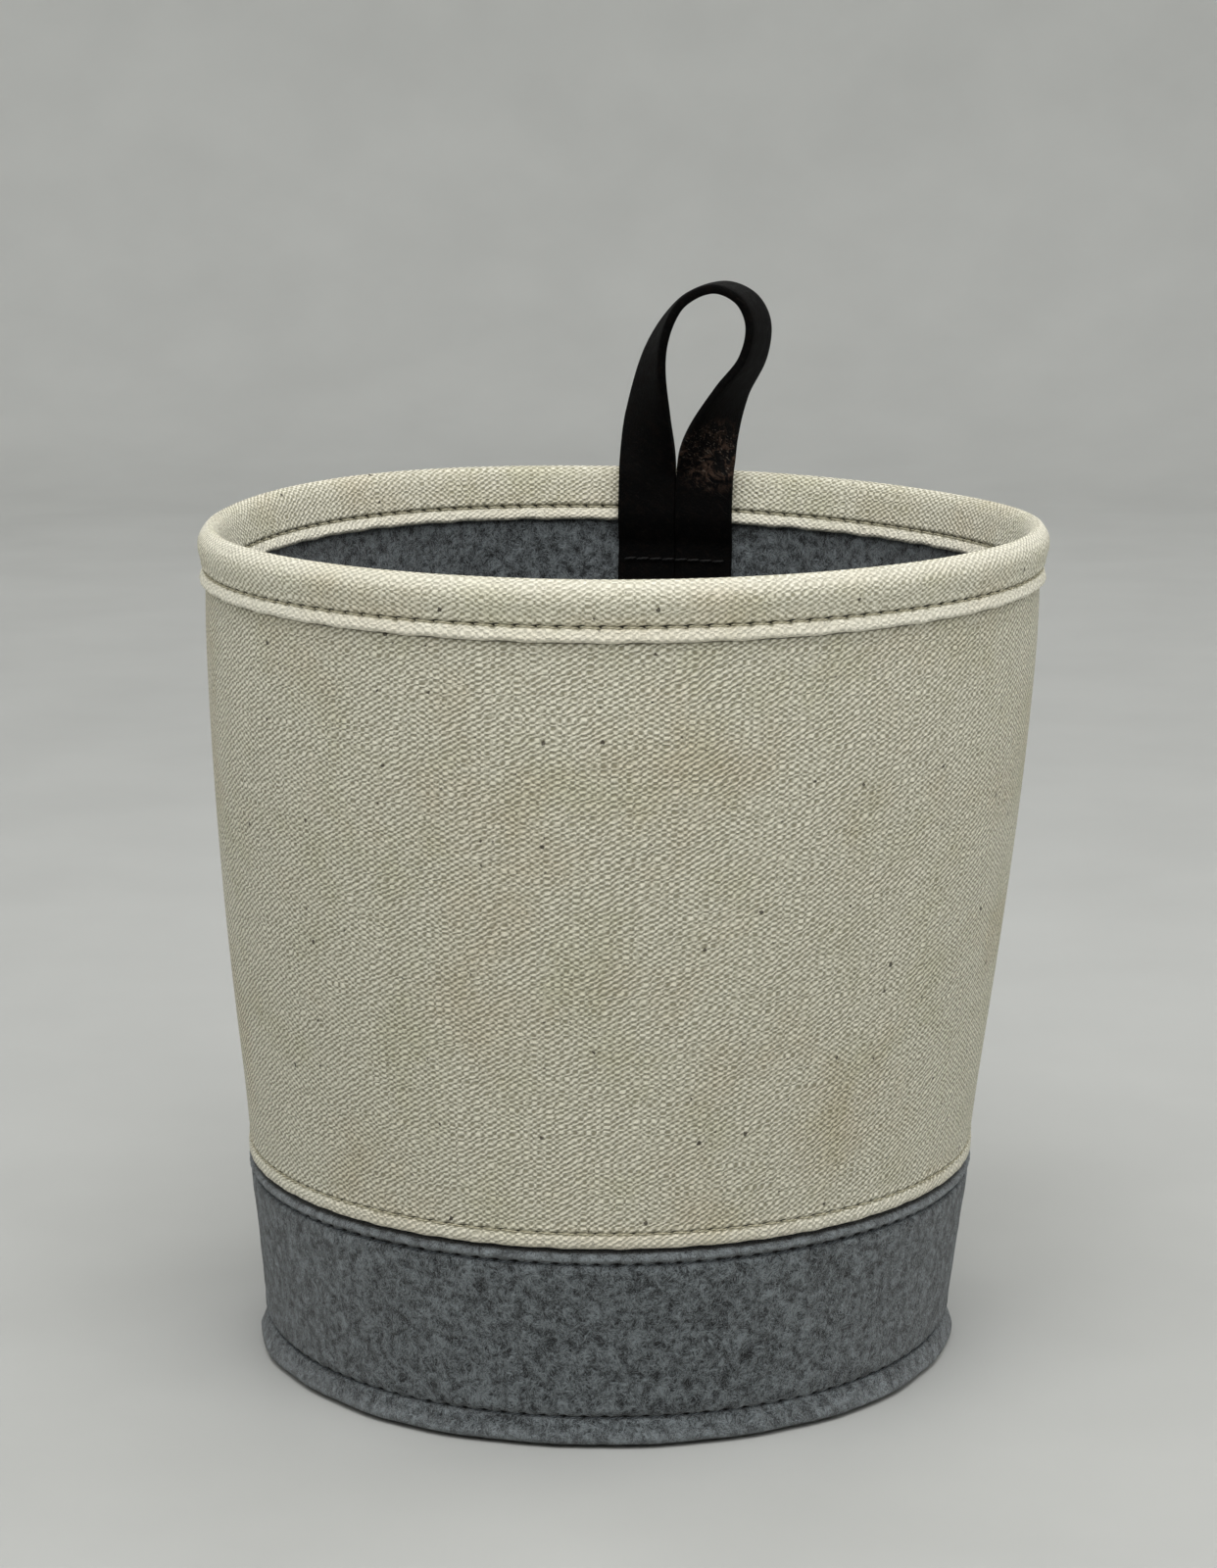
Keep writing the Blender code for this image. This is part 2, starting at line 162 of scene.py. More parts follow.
def stitched_section(
    knots: Sequence[Sequence[float]], seams: Sequence[float], fine: float, coarse: float
) -> Profile:
    """Sample a section's curve closely beside its seams and widely elsewhere.

    Args:
        knots: (radius, height) points of the curve.
        seams: heights of the stitching.
        fine: spacing beside a seam.
        coarse: spacing elsewhere.

    Returns:
        Points of the section.
    """
    points = spline(knots, fine)
    every = round(coarse / fine)
    kept = []
    for i, (radius, z) in enumerate(points):
        near = any(abs(z - seam) < 2.2 * MM for seam in seams)
        if near or i % every == 0 or i == len(points) - 1:
            kept.append((float(radius), float(z)))
    return kept


def smooth_step(low: float, high: float, value: np.ndarray | float) -> np.ndarray:
    """Ease from 0 at low to 1 at high."""
    share = np.clip((np.asarray(value, float) - low) / (high - low), 0, 1)
    return share * share * (3 - 2 * share)


def bell(value: np.ndarray, centre: float, width: float) -> np.ndarray:
    """A smooth hump of height 1 at centre that fades over width."""
    return np.exp(-(((value - centre) / width) ** 2))


def mottled(points: np.ndarray, grain: float, seed: float) -> np.ndarray:
    """Smooth noise from -1 to 1 at each point.

    Args:
        points: array of positions in metres.
        grain: size of one lump in metres.
        seed: offset that makes one field differ from another.

    Returns:
        One value for each point.
    """
    shift = Vector((seed, seed * 0.7, seed * 1.3))
    return np.array([noise.noise(Vector(p) / grain + shift) for p in points])


def ramp(
    tree: bpy.types.NodeTree, value: bpy.types.NodeSocket, low: float, high: float,
    start: float = 0.0, end: float = 1.0, eased: bool = True,
) -> bpy.types.NodeSocket:
    """Spread the range from low to high over the one from start to end, and hold it there outside.

    Args:
        tree: the material's nodes.
        value: the number to spread.
        low: value that gives start.
        high: value that gives end.
        start: result at low and below it.
        end: result at high and above it.
        eased: whether the slope fades in and out instead of being even.

    Returns:
        The result.
    """
    setting = {"interpolation_type": "SMOOTHSTEP" if eased else "LINEAR"}
    return node(
        tree, "ShaderNodeMapRange", setting, {0: value, 1: low, 2: high, 3: start, 4: end}
    ).outputs[0]


def mix_colour(
    tree: bpy.types.NodeTree, share: bpy.types.NodeSocket, first: Colour, second: Colour,
    mode: str = "MIX",
) -> bpy.types.NodeSocket:
    """Go from the first colour at a share of 0 to the second at 1."""
    setting = {"data_type": "RGBA", "blend_type": mode}
    return node(tree, "ShaderNodeMix", setting, {"Factor": share, 6: first, 7: second}).outputs[2]


def arithmetic(
    tree: bpy.types.NodeTree, operation: str, *values: bpy.types.NodeSocket | float
) -> bpy.types.NodeSocket:
    """Work out one operation on a few numbers."""
    setting = {"operation": operation}
    return node(tree, "ShaderNodeMath", setting, dict(enumerate(values))).outputs[0]


def displaced(
    tree: bpy.types.NodeTree, place: bpy.types.NodeSocket, aside: bpy.types.NodeSocket, reach: tuple
) -> bpy.types.NodeSocket:
    """Push a place aside by a noise, as far as the reach on each axis."""
    setting = {"operation": "MULTIPLY_ADD"}
    return node(tree, "ShaderNodeVectorMath", setting, {0: aside, 1: reach, 2: place}).outputs[0]


def emboss(
    tree: bpy.types.NodeTree, shader: bpy.types.Node, strength: float, depth: float,
    height: bpy.types.NodeSocket,
) -> None:
    """Raise the surface by a height times the depth.

    Args:
        tree: the material's nodes.
        shader: the Principled shader whose normal is bent.
        strength: share of the relief that shows, from 0 to 1.
        depth: metres of relief for a height of 1.
        height: the height at a point.
    """
    inputs = {"Strength": strength, "Distance": depth, "Height": height}
    bump = node(tree, "ShaderNodeBump", inputs=inputs)
    tree.links.new(bump.outputs[0], shader.inputs["Normal"])


def darkened(tree: bpy.types.NodeTree, colour: bpy.types.NodeSocket) -> bpy.types.NodeSocket:
    """Paint shade into a cloth's colour in its needle holes and shadowed strips, where hardly any light gets
    in.

    Args:
        tree: the material's nodes.
        colour: the cloth's colour.

    Returns:
        The colour with its painted shade.
    """
    needle = node(tree, "ShaderNodeAttribute", {"attribute_name": "needle"}).outputs["Fac"]
    amount = ramp(tree, needle, 0.30, 0.85, 0.0, 0.90)
    # painted shade: the colour that the needle holes and shadowed strips are darkened towards
    return mix_colour(tree, amount, colour, linear("#15130f"))


# ---- finishes ----------------------------------------------------------------------------------


@dataclass(frozen=True)
class Finish:
    """What every finish shares: a name, the record's slot it belongs to and its surface's tone."""

    name: str
    slot: str
    roughness: float

    def material(self) -> bpy.types.Material:
        """Make the material once, and hand the same one back after that.

        Returns:
            The finish's material.
        """
        found = bpy.data.materials.get(self.name)
        if found:
            return found
        made = bpy.data.materials.new(self.name)
        made.use_nodes = True
        shader = made.node_tree.nodes["Principled BSDF"]
        shader.inputs["Roughness"].default_value = self.roughness
        self.dress(made.node_tree, shader)
        return made

    def dress(self, tree: bpy.types.NodeTree, shader: bpy.types.Node) -> None:
        """Add the finish's own pattern to the shader."""
        raise NotImplementedError


@dataclass(frozen=True)
class CottonDuck(Finish):
    """Unbleached number 10 cotton duck, plain woven and unfinished.

    To the eye it is matt and creamy, with slanted beads where the yarns float, shade in the gap between them
    (painted as a darker colour), uneven slubs, faint warm and green tints, and dark flecks of cotton seed.
    """

    name: str = "unbleached_cotton_duck"
    slot: str = "canvas"
    roughness: float = 0.93
    float_colour: str = "#ece8d5"
    # painted shade in the gaps between the floats, where the yarns lie in each other's shadow
    gap_shade_colour: str = "#8d8974"
    # painted highlight on the lit folds and ridges that the fold attribute marks
    highlight_colour: str = "#fffaea"
    highlight_share: float = 0.46
    fleck_colour: str = "#3a3327"
    warm_tint: str = "#dcc4a0"
    green_tint: str = "#cdcfa4"
    across_pitch: float = 0.977  # mm between upright yarns, 26 to the inch
    up_pitch: float = 0.605  # mm between level yarns, 42 to the inch
    relief: float = 0.00031
    evenness_spread: float = 0.12
    evenness: float = 0.34  # share of the crossing slant: 0.5 makes diamonds and 0 makes cords

    def dress(self, tree: bpy.types.NodeTree, shader: bpy.types.Node) -> None:
        """Weave, slubs, tints and seed flecks, all measured in millimetres of cloth.

        Args:
            tree: the material's nodes.
            shader: the Principled shader that they feed.
        """
        cloth = node(tree, "ShaderNodeUVMap", {"uv_map": "cloth_mm"}).outputs[0]
        beads, lift = self.weave(tree, cloth)
        colour = self.tinted(tree, cloth, beads)
        flecked = self.flecks(tree, cloth, colour)
        tree.links.new(self.worked(tree, flecked), shader.inputs["Base Color"])
        emboss(tree, shader, 1.0, self.relief, lift)
        shader.inputs["Specular IOR Level"].default_value = 0.18
        shader.inputs["Sheen Weight"].default_value = 0.12
        shader.inputs["Sheen Roughness"].default_value = 0.6

    def weave(
        self, tree: bpy.types.NodeTree, cloth: bpy.types.NodeSocket
    ) -> tuple[bpy.types.NodeSocket, bpy.types.NodeSocket]:
        """Plain weave whose yarn twist slants each float up to the right.

        Args:
            tree: the material's nodes.
            cloth: position on the cloth in millimetres.

        Returns:
            How much of a float is at a point, from 0 to 1, and its height.
        """
        # a slub wanders slowly along its yarn and quickly across it
        along_level = node(tree, "ShaderNodeMapping", inputs={0: cloth, 3: (0.07, 0.9, 1.0)})
        along_upright = node(tree, "ShaderNodeMapping", inputs={0: cloth, 3: (0.7, 0.06, 1.0)})
        level_slub = node(
            tree, "ShaderNodeTexNoise", FLAT,
            {"Vector": along_level.outputs[0], "Scale": 1.0, "Detail": 2.0},
        )
        upright_slub = node(
            tree, "ShaderNodeTexNoise", FLAT,
            {"Vector": along_upright.outputs[0], "Scale": 1.0, "Detail": 2.0},
        )
        wander = node(
            tree, "ShaderNodeCombineXYZ",
            inputs={0: upright_slub.outputs[0], 1: level_slub.outputs[0]},
        )
        moved = displaced(tree, cloth, wander.outputs[0], (1.2, 0.95, 0.0))
        shaken = node(
            tree, "ShaderNodeTexNoise", FLAT,
            {"Vector": cloth, "Scale": 0.9, "Detail": 1.5},
        )
        jittered = displaced(tree, moved, shaken.outputs["Color"], (0.75, 0.42, 0.0))
        turn_across, turn_up = math.pi / self.across_pitch, math.pi / self.up_pitch
        waves = []
        for slant in (-1, 1):
            phase = node(
                tree, "ShaderNodeVectorMath", {"operation": "DOT_PRODUCT"},
                {0: jittered, 1: (turn_across, slant * turn_up, 0.0)},
            )
            waves.append(arithmetic(tree, "COSINE", phase.outputs["Value"]))
        region = node(
            tree, "ShaderNodeTexNoise", FLAT,
            {"Vector": cloth, "Scale": 0.11, "Detail": 3.0},
        )
        # where the yarns lie tighter the floats run together into slanted cords
        share = ramp(
            tree, region.outputs[0], 0.3, 0.7,
            self.evenness - self.evenness_spread, self.evenness + self.evenness_spread, eased=False,
        )
        both = node(
            tree, "ShaderNodeMix", {"data_type": "FLOAT"},
            {"Factor": share, 2: waves[0], 3: waves[1]},
        )
        uneven = node(
            tree, "ShaderNodeTexNoise", FLAT,
            {"Vector": cloth, "Scale": 0.8, "Detail": 4.0, "Roughness": 0.7},
        )
        body = ramp(tree, uneven.outputs[0], 0.25, 0.75, -0.36, 0.36, eased=False)
        height = arithmetic(tree, "ADD", both.outputs[0], body)
        beads = ramp(tree, height, -0.80, 0.70, eased=False)
        lift = ramp(tree, height, -0.90, 1.05)
        return beads, lift

    def tinted(
        self, tree: bpy.types.NodeTree, cloth: bpy.types.NodeSocket, beads: bpy.types.NodeSocket
    ) -> bpy.types.NodeSocket:
        """Yarn colour with painted shade in the gap between floats, and faint warm and green stains.

        Args:
            tree: the material's nodes.
            cloth: position on the cloth in millimetres.
            beads: how much of a float is at a point.

        Returns:
            The colour.
        """
        colour = mix_colour(tree, beads, linear(self.gap_shade_colour), linear(self.float_colour))
        for tint, scale, seed, most in (
            (self.warm_tint, 0.030, 3.0, 0.24),
            (self.green_tint, 0.050, 11.0, 0.22),
        ):
            moved = node(tree, "ShaderNodeMapping", inputs={0: cloth, 1: (seed * 31, seed * 17, 0.0)})
            stain = node(
                tree, "ShaderNodeTexNoise", FLAT,
                {"Vector": moved.outputs[0], "Scale": scale, "Detail": 4.0, "Roughness": 0.6},
            )
            amount = ramp(tree, stain.outputs[0], 0.46, 0.78, 0.0, most)
            colour = mix_colour(tree, amount, colour, linear(tint), mode="MULTIPLY")
        return colour

    def worked(self, tree: bpy.types.NodeTree, colour: bpy.types.NodeSocket) -> bpy.types.NodeSocket:
        """Paint highlights on the lit folds and ridges, and painted shade in the needle holes and shadowed
        strips.

        Args:
            tree: the material's nodes.
            colour: the flat cloth's colour.

        Returns:
            The cloth's colour with its painted highlights and painted shade.
        """
        # painted highlight: the fold attribute marks the lips and the roll's top, where the light falls
        fold = node(tree, "ShaderNodeAttribute", {"attribute_name": "fold"}).outputs["Fac"]
        share = arithmetic(tree, "MULTIPLY", fold, self.highlight_share)
        highlighted = mix_colour(tree, share, colour, linear(self.highlight_colour))
        return darkened(tree, highlighted)

    def flecks(
        self, tree: bpy.types.NodeTree, cloth: bpy.types.NodeSocket, colour: bpy.types.NodeSocket
    ) -> bpy.types.NodeSocket:
        """Scatter dark bits of cotton seed, few and bold, and many and faint.

        Args:
            tree: the material's nodes.
            cloth: position on the cloth in millimetres.
            colour: the clean cloth's colour.

        Returns:
            The flecked colour.
        """
        for spacing, size, strength in ((11.0, 0.60, 0.90), (5.2, 0.34, 0.72), (2.6, 0.20, 0.45)):
            ragged = node(
                tree, "ShaderNodeTexNoise", FLAT,
                {"Vector": cloth, "Scale": 1.7, "Detail": 2.0},
            )
            bent = displaced(tree, cloth, ragged.outputs["Color"], (0.9, 0.6, 0.0))
            cells = node(
                tree, "ShaderNodeTexVoronoi", {"voronoi_dimensions": "2D"},
                {"Vector": bent, "Scale": 1 / spacing},
            )
            chance = node(tree, "ShaderNodeSeparateColor", inputs={0: cells.outputs["Color"]})
            reach = ramp(tree, chance.outputs[0], 0.35, 1.0, -0.02, size / spacing, eased=False)
            fleck = arithmetic(tree, "SUBTRACT", reach, cells.outputs["Distance"])
            amount = ramp(tree, fleck, 0.0, 0.18 / spacing, 0.0, strength)
            colour = mix_colour(tree, amount, colour, linear(self.fleck_colour))
        return colour


FIBRE_TURNS = ((0.0, 0.0, 0.3), (0.4, 1.1, 0.0), (1.0, 0.5, 1.4), (0.2, 2.2, 0.8), (1.5, 0.9, 2.5))


@dataclass(frozen=True)
class WoolFelt(Finish):
    """Heather grey pressed wool felt, 3 mm thick.

    To the eye it is fully matt, clouded in blotches of light and dark fibre 1 to 3 mm across, with
    fine pale hairs lying every way on top.
    """

    name: str = "heather_grey_wool_felt"
    slot: str = "felt"
    roughness: float = 1.0
    dark: str = "#16181a"
    light: str = "#80878a"
    # painted highlight on the flange and the puff under the hem
    highlight_tone: str = "#b9bfc1"
    relief: float = 0.00055
    fibre_length: float = 2.4 * MM
    fibre_width: float = 0.30 * MM  # a real fibre is a tenth of this, too fine to show

    def dress(self, tree: bpy.types.NodeTree, shader: bpy.types.Node) -> None:
        """Clouds of fibre and tangled strands on Object coordinates.

        Args:
            tree: the material's nodes.
            shader: the Principled shader that they feed.
        """
        place = node(tree, "ShaderNodeTexCoord").outputs["Object"]
        drift = node(
            tree, "ShaderNodeTexNoise", {}, {"Vector": place, "Scale": 1 / (3.2 * MM), "Detail": 1.0}
        )
        bent = displaced(tree, place, drift.outputs["Color"], (2.6 * MM,) * 3)
        cloud = node(
            tree, "ShaderNodeTexNoise", {},
            {"Vector": bent, "Scale": 1 / (2.3 * MM), "Detail": 6.0, "Roughness": 0.66},
        )
        fibre = None
        for turn in FIBRE_TURNS:
            laid = node(
                tree, "ShaderNodeMapping", {"vector_type": "TEXTURE"},
                {0: bent, 2: turn, 3: (self.fibre_length, self.fibre_width, self.fibre_width)},
            )
            strand = node(
                tree, "ShaderNodeTexNoise", {}, {"Vector": laid.outputs[0], "Scale": 1.0, "Detail": 1.0}
            ).outputs[0]
            if fibre is None:
                fibre = strand
            else:
                fibre = arithmetic(tree, "MAXIMUM", fibre, strand)
        tangled = ramp(tree, fibre, 0.45, 0.80, eased=False)
        mixed = arithmetic(tree, "MULTIPLY_ADD", tangled, 0.42, cloud.outputs[0])
        tone = ramp(tree, mixed, 0.46, 0.98)
        colour = mix_colour(tree, tone, linear(self.dark), linear(self.light))
        # painted highlight where the fold attribute marks lit felt
        fold = node(tree, "ShaderNodeAttribute", {"attribute_name": "fold"}).outputs["Fac"]
        share = arithmetic(tree, "MULTIPLY", fold, 0.16)
        highlight_tone = mix_colour(tree, share, colour, linear(self.highlight_tone))
        tree.links.new(darkened(tree, highlight_tone), shader.inputs["Base Color"])
        emboss(tree, shader, 1.0, self.relief, mixed)
        shader.inputs["Specular IOR Level"].default_value = 0.08
        shader.inputs["Sheen Weight"].default_value = 0.25
        shader.inputs["Sheen Roughness"].default_value = 0.55


@dataclass(frozen=True)
class SpunThread(Finish):
    """Three-ply spun sewing thread: matt, with a fine slanted twist."""

    colour: str = "#cdc7ae"
    # painted shade in the grooves between the plies
    valley_shade: str = "#8d876f"

    def dress(self, tree: bpy.types.NodeTree, shader: bpy.types.Node) -> None:
        """Ply twist along each stitch's own map.

        Args:
            tree: the material's nodes.
            shader: the Principled shader that they feed.
        """
        along = node(tree, "ShaderNodeUVMap", {"uv_map": "stitch"}).outputs[0]
        phase = node(
            tree, "ShaderNodeVectorMath", {"operation": "DOT_PRODUCT"},
            {0: along, 1: (math.tau * 2, math.tau * 4, 0.0)},
        )
        twist = arithmetic(tree, "SINE", phase.outputs["Value"])
        share = ramp(tree, twist, -1.0, 1.0, eased=False)
        colour = mix_colour(tree, share, linear(self.valley_shade), linear(self.colour))
        tree.links.new(colour, shader.inputs["Base Color"])
        emboss(tree, shader, 0.7, 0.00008, share)
        shader.inputs["Specular IOR Level"].default_value = 0.25


@dataclass(frozen=True)
class FinishedLeather(Finish):
    """Black finished cowhide, cut from a side and left soft.

    To the eye it is almost black, with a low sheen broken by fine grain, softer edges from wear, and a
    brown rub where the hand pulls the loop.
    """

    name: str = "black_finished_cowhide"
    slot: str = "leather"
    roughness: float = 0.62
    face: str = "#020202"
    rub: str = "#43342b"
    scuff: str = "#6f655c"
    rub_place: tuple[float, float, float] = (0.0124, 0.083, 0.1890)
    rub_reach: float = 0.0105

    def dress(self, tree: bpy.types.NodeTree, shader: bpy.types.Node) -> None:
        """Grain, creases and the brown rub on Object coordinates.

        Args:
            tree: the material's nodes.
            shader: the Principled shader that they feed.
        """
        place = node(tree, "ShaderNodeTexCoord").outputs["Object"]
        grain = node(
            tree, "ShaderNodeTexVoronoi", {"feature": "DISTANCE_TO_EDGE"},
            {"Vector": place, "Scale": 1 / (0.75 * MM)},
        )
        pores = ramp(tree, grain.outputs["Distance"], 0.0, 0.22)
        wear = node(
            tree, "ShaderNodeTexNoise", {},
            {"Vector": place, "Scale": 1 / (2.4 * MM), "Detail": 5.0, "Roughness": 0.7, "Distortion": 1.0},
        )
        away = node(
            tree, "ShaderNodeVectorMath", {"operation": "DISTANCE"}, {0: place, 1: self.rub_place}
        )
        near = ramp(tree, away.outputs["Value"], self.rub_reach * 0.5, self.rub_reach, 0.9, 0.05)
        spots = ramp(tree, wear.outputs[0], 0.46, 0.66)
        rubbed = arithmetic(tree, "MULTIPLY", near, spots)
        colour = mix_colour(tree, rubbed, linear(self.face), linear(self.rub))
        scratched = node(
            tree, "ShaderNodeMapping", {"vector_type": "TEXTURE"},
            {0: place, 2: (0.0, 0.7, 0.0), 3: (2.6 * MM, 0.35 * MM, 0.35 * MM)},
        )
        scratch = node(
            tree, "ShaderNodeTexNoise", {},
            {"Vector": scratched.outputs[0], "Scale": 1.0, "Detail": 3.0, "Distortion": 0.6},
        )
        lines = ramp(tree, scratch.outputs[0], 0.58, 0.74, 0.0, 0.75)
        marks = arithmetic(tree, "MULTIPLY", lines, near)
        scuffed = mix_colour(tree, marks, colour, linear(self.scuff))
        tree.links.new(scuffed, shader.inputs["Base Color"])
        dull = ramp(tree, wear.outputs[0], 0.3, 0.7, self.roughness, self.roughness + 0.25, eased=False)
        tree.links.new(dull, shader.inputs["Roughness"])
        height = arithmetic(tree, "MULTIPLY_ADD", wear.outputs[0], 1.4, pores)
        emboss(tree, shader, 0.5, 0.00012, height)
        shader.inputs["Specular IOR Level"].default_value = 0.07


@dataclass(frozen=True)
class PaintedBoard(Finish):
    """Pale painted board of the studio floor: matt and almost even."""

    name: str = "pale_matt_board"
    slot: str = ""
    roughness: float = 0.85
    colour: str = "#b9bab7"
    wall_colour: str = "#e2e3e0"

    def dress(self, tree: bpy.types.NodeTree, shader: bpy.types.Node) -> None:
        """Paler paint on the wall, and a slight clouding, as a brushed coat of matt paint has.

        Args:
            tree: the material's nodes.
            shader: the Principled shader that they feed.
        """
        place = node(tree, "ShaderNodeTexCoord").outputs["Object"]
        away = node(tree, "ShaderNodeVectorMath", {"operation": "LENGTH"}, {0: place})
        rising = ramp(tree, away.outputs["Value"], 0.6, 1.9)
        paint = mix_colour(tree, rising, linear(self.colour), linear(self.wall_colour))
        cloud = node(
            tree, "ShaderNodeTexNoise", {}, {"Vector": place, "Scale": 14.0, "Detail": 3.0}
        )
        share = ramp(tree, cloud.outputs[0], 0.3, 0.7, 0.94, 1.0, eased=False)
        colour = mix_colour(tree, share, (0.0, 0.0, 0.0, 1.0), paint)
        tree.links.new(colour, shader.inputs["Base Color"])


CANVAS = CottonDuck()
TIGHT_CANVAS = CottonDuck(
    "unbleached_cotton_duck_rolled", evenness=0.43, relief=0.00022,
    float_colour="#f2eedb", gap_shade_colour="#9a9680",
)
FELT = WoolFelt()
LEATHER = FinishedLeather()
NATURAL_THREAD = SpunThread("natural_spun_thread", "canvas_thread", 0.85)
GREY_THREAD = SpunThread("grey_spun_thread", "felt_thread", 0.85, "#5d6266", "#2c3033")
BLACK_THREAD = SpunThread("black_spun_thread", "leather_thread", 0.7, "#1d1c1b", "#070707")


# ---- the bucket's sizes and stance ---------------------------------------------------------------


@dataclass(frozen=True)
class Pattern:
    """Sizes that the sewn pieces share, in metres: read from the frame where a node shows them."""

    height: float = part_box("rim_binding")[1].z
    lip_edge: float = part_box("rim_binding")[0].z
    rim_radius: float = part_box("rim_binding")[1].x
    rim_stitch: float = (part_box("rim_thread_outer")[0].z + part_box("rim_thread_outer")[1].z) / 2
    hem_edge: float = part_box("canvas_shell")[0].z
    hem_stitch: float = (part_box("hem_thread_outer")[0].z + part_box("hem_thread_outer")[1].z) / 2
    band_stitch: float = (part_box("band_thread_outer")[0].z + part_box("band_thread_outer")[1].z) / 2
    flange: float = (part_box("base_thread_outer")[0].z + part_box("base_thread_outer")[1].z) / 2
    base_top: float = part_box("felt_base_disc")[1].z
    wall_top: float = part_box("canvas_shell")[1].z
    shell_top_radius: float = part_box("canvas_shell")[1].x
    hem_radius: float = 0.0805
    waist_radius: float = 0.0762
    foot_radius: float = 0.0778
    canvas: float = 0.0008
    felt: float = 0.0028
    clearance: float = 0.0003
    hem_allowance: float = 0.0110
    taper_ease: float = 1.2
    shoulder_share: float = 0.88

    def wall(self, z: np.ndarray | float) -> np.ndarray:
        """Outer radius of the canvas wall at a height.

        Args:
            z: height or heights.

        Returns:
            The radius at each height.
        """
        shoulder = self.hem_edge + (self.height - self.hem_edge) * self.shoulder_share
        share = np.clip((np.asarray(z, float) - self.hem_edge) / (shoulder - self.hem_edge), 0, 1)
        swell = np.sin(BACK * share**self.taper_ease)
        return self.hem_radius + (self.shell_top_radius - self.hem_radius) * swell

    def band(self, z: np.ndarray | float) -> np.ndarray:
        """Outer radius of the felt band between its waist and its top stitching."""
        share = (np.asarray(z, float) - self.flange) / (self.band_stitch - self.flange)
        return self.waist_radius + (self.hem_radius - self.waist_radius) * np.clip(share, 0, 1)

    def lining(self, z: np.ndarray | float) -> np.ndarray:
        """Inner radius of the felt liner at a height.

        Args:
            z: height or heights.

        Returns:
            The radius at each height.
        """
        hem_top = self.hem_edge + self.hem_allowance
        ply = self.canvas + self.clearance
        behind_band = self.band(np.minimum(z, self.band_stitch)) - self.felt - self.clearance
        behind_hem = self.wall(z) - 2 * ply
        behind_wall = self.wall(z) - ply
        upper = behind_hem + (behind_wall - behind_hem) * smooth_step(hem_top, hem_top + 0.0016, z)
        blend = smooth_step(self.band_stitch, self.hem_stitch, z)
        return behind_band + (upper - behind_band) * blend - self.felt


@dataclass(frozen=True)
class Stance:
    """How the soft bucket stands: it leans a little and its back rim is higher on the left."""

    height: float
    radius: float
    lean: float = 0.0040
    back_tilt: float = 0.0019
    wave: float = 0.00035

    def settle(self, points: np.ndarray) -> np.ndarray:
        """Move points of the true round bucket to where they lie in the soft one.

        Args:
            points: positions in metres.

        Returns:
            The moved positions.
        """
        made = points.copy()
        x, y, z = points.T
        rise = z / self.height
        angle = np.arctan2(y, x)
        wave = self.wave * smooth_step(0.15, 1.0, rise)
        swell = wave * (np.sin(3 * angle + 0.6) + 0.6 * np.sin(5 * angle + 2.1))
        reach = np.hypot(x, y) + 1e-9
        made[:, 0] += self.lean * rise + swell * x / reach
        made[:, 1] += swell * y / reach
        backward = smooth_step(-0.1, 0.9, y / self.radius) * smooth_step(0.5, 1.0, rise)
        made[:, 2] -= self.back_tilt * x / self.radius * backward
        return made


PATTERN = Pattern()
STANCE = Stance(PATTERN.height, PATTERN.rim_radius)


# ---- making cloth pieces -------------------------------------------------------------------------


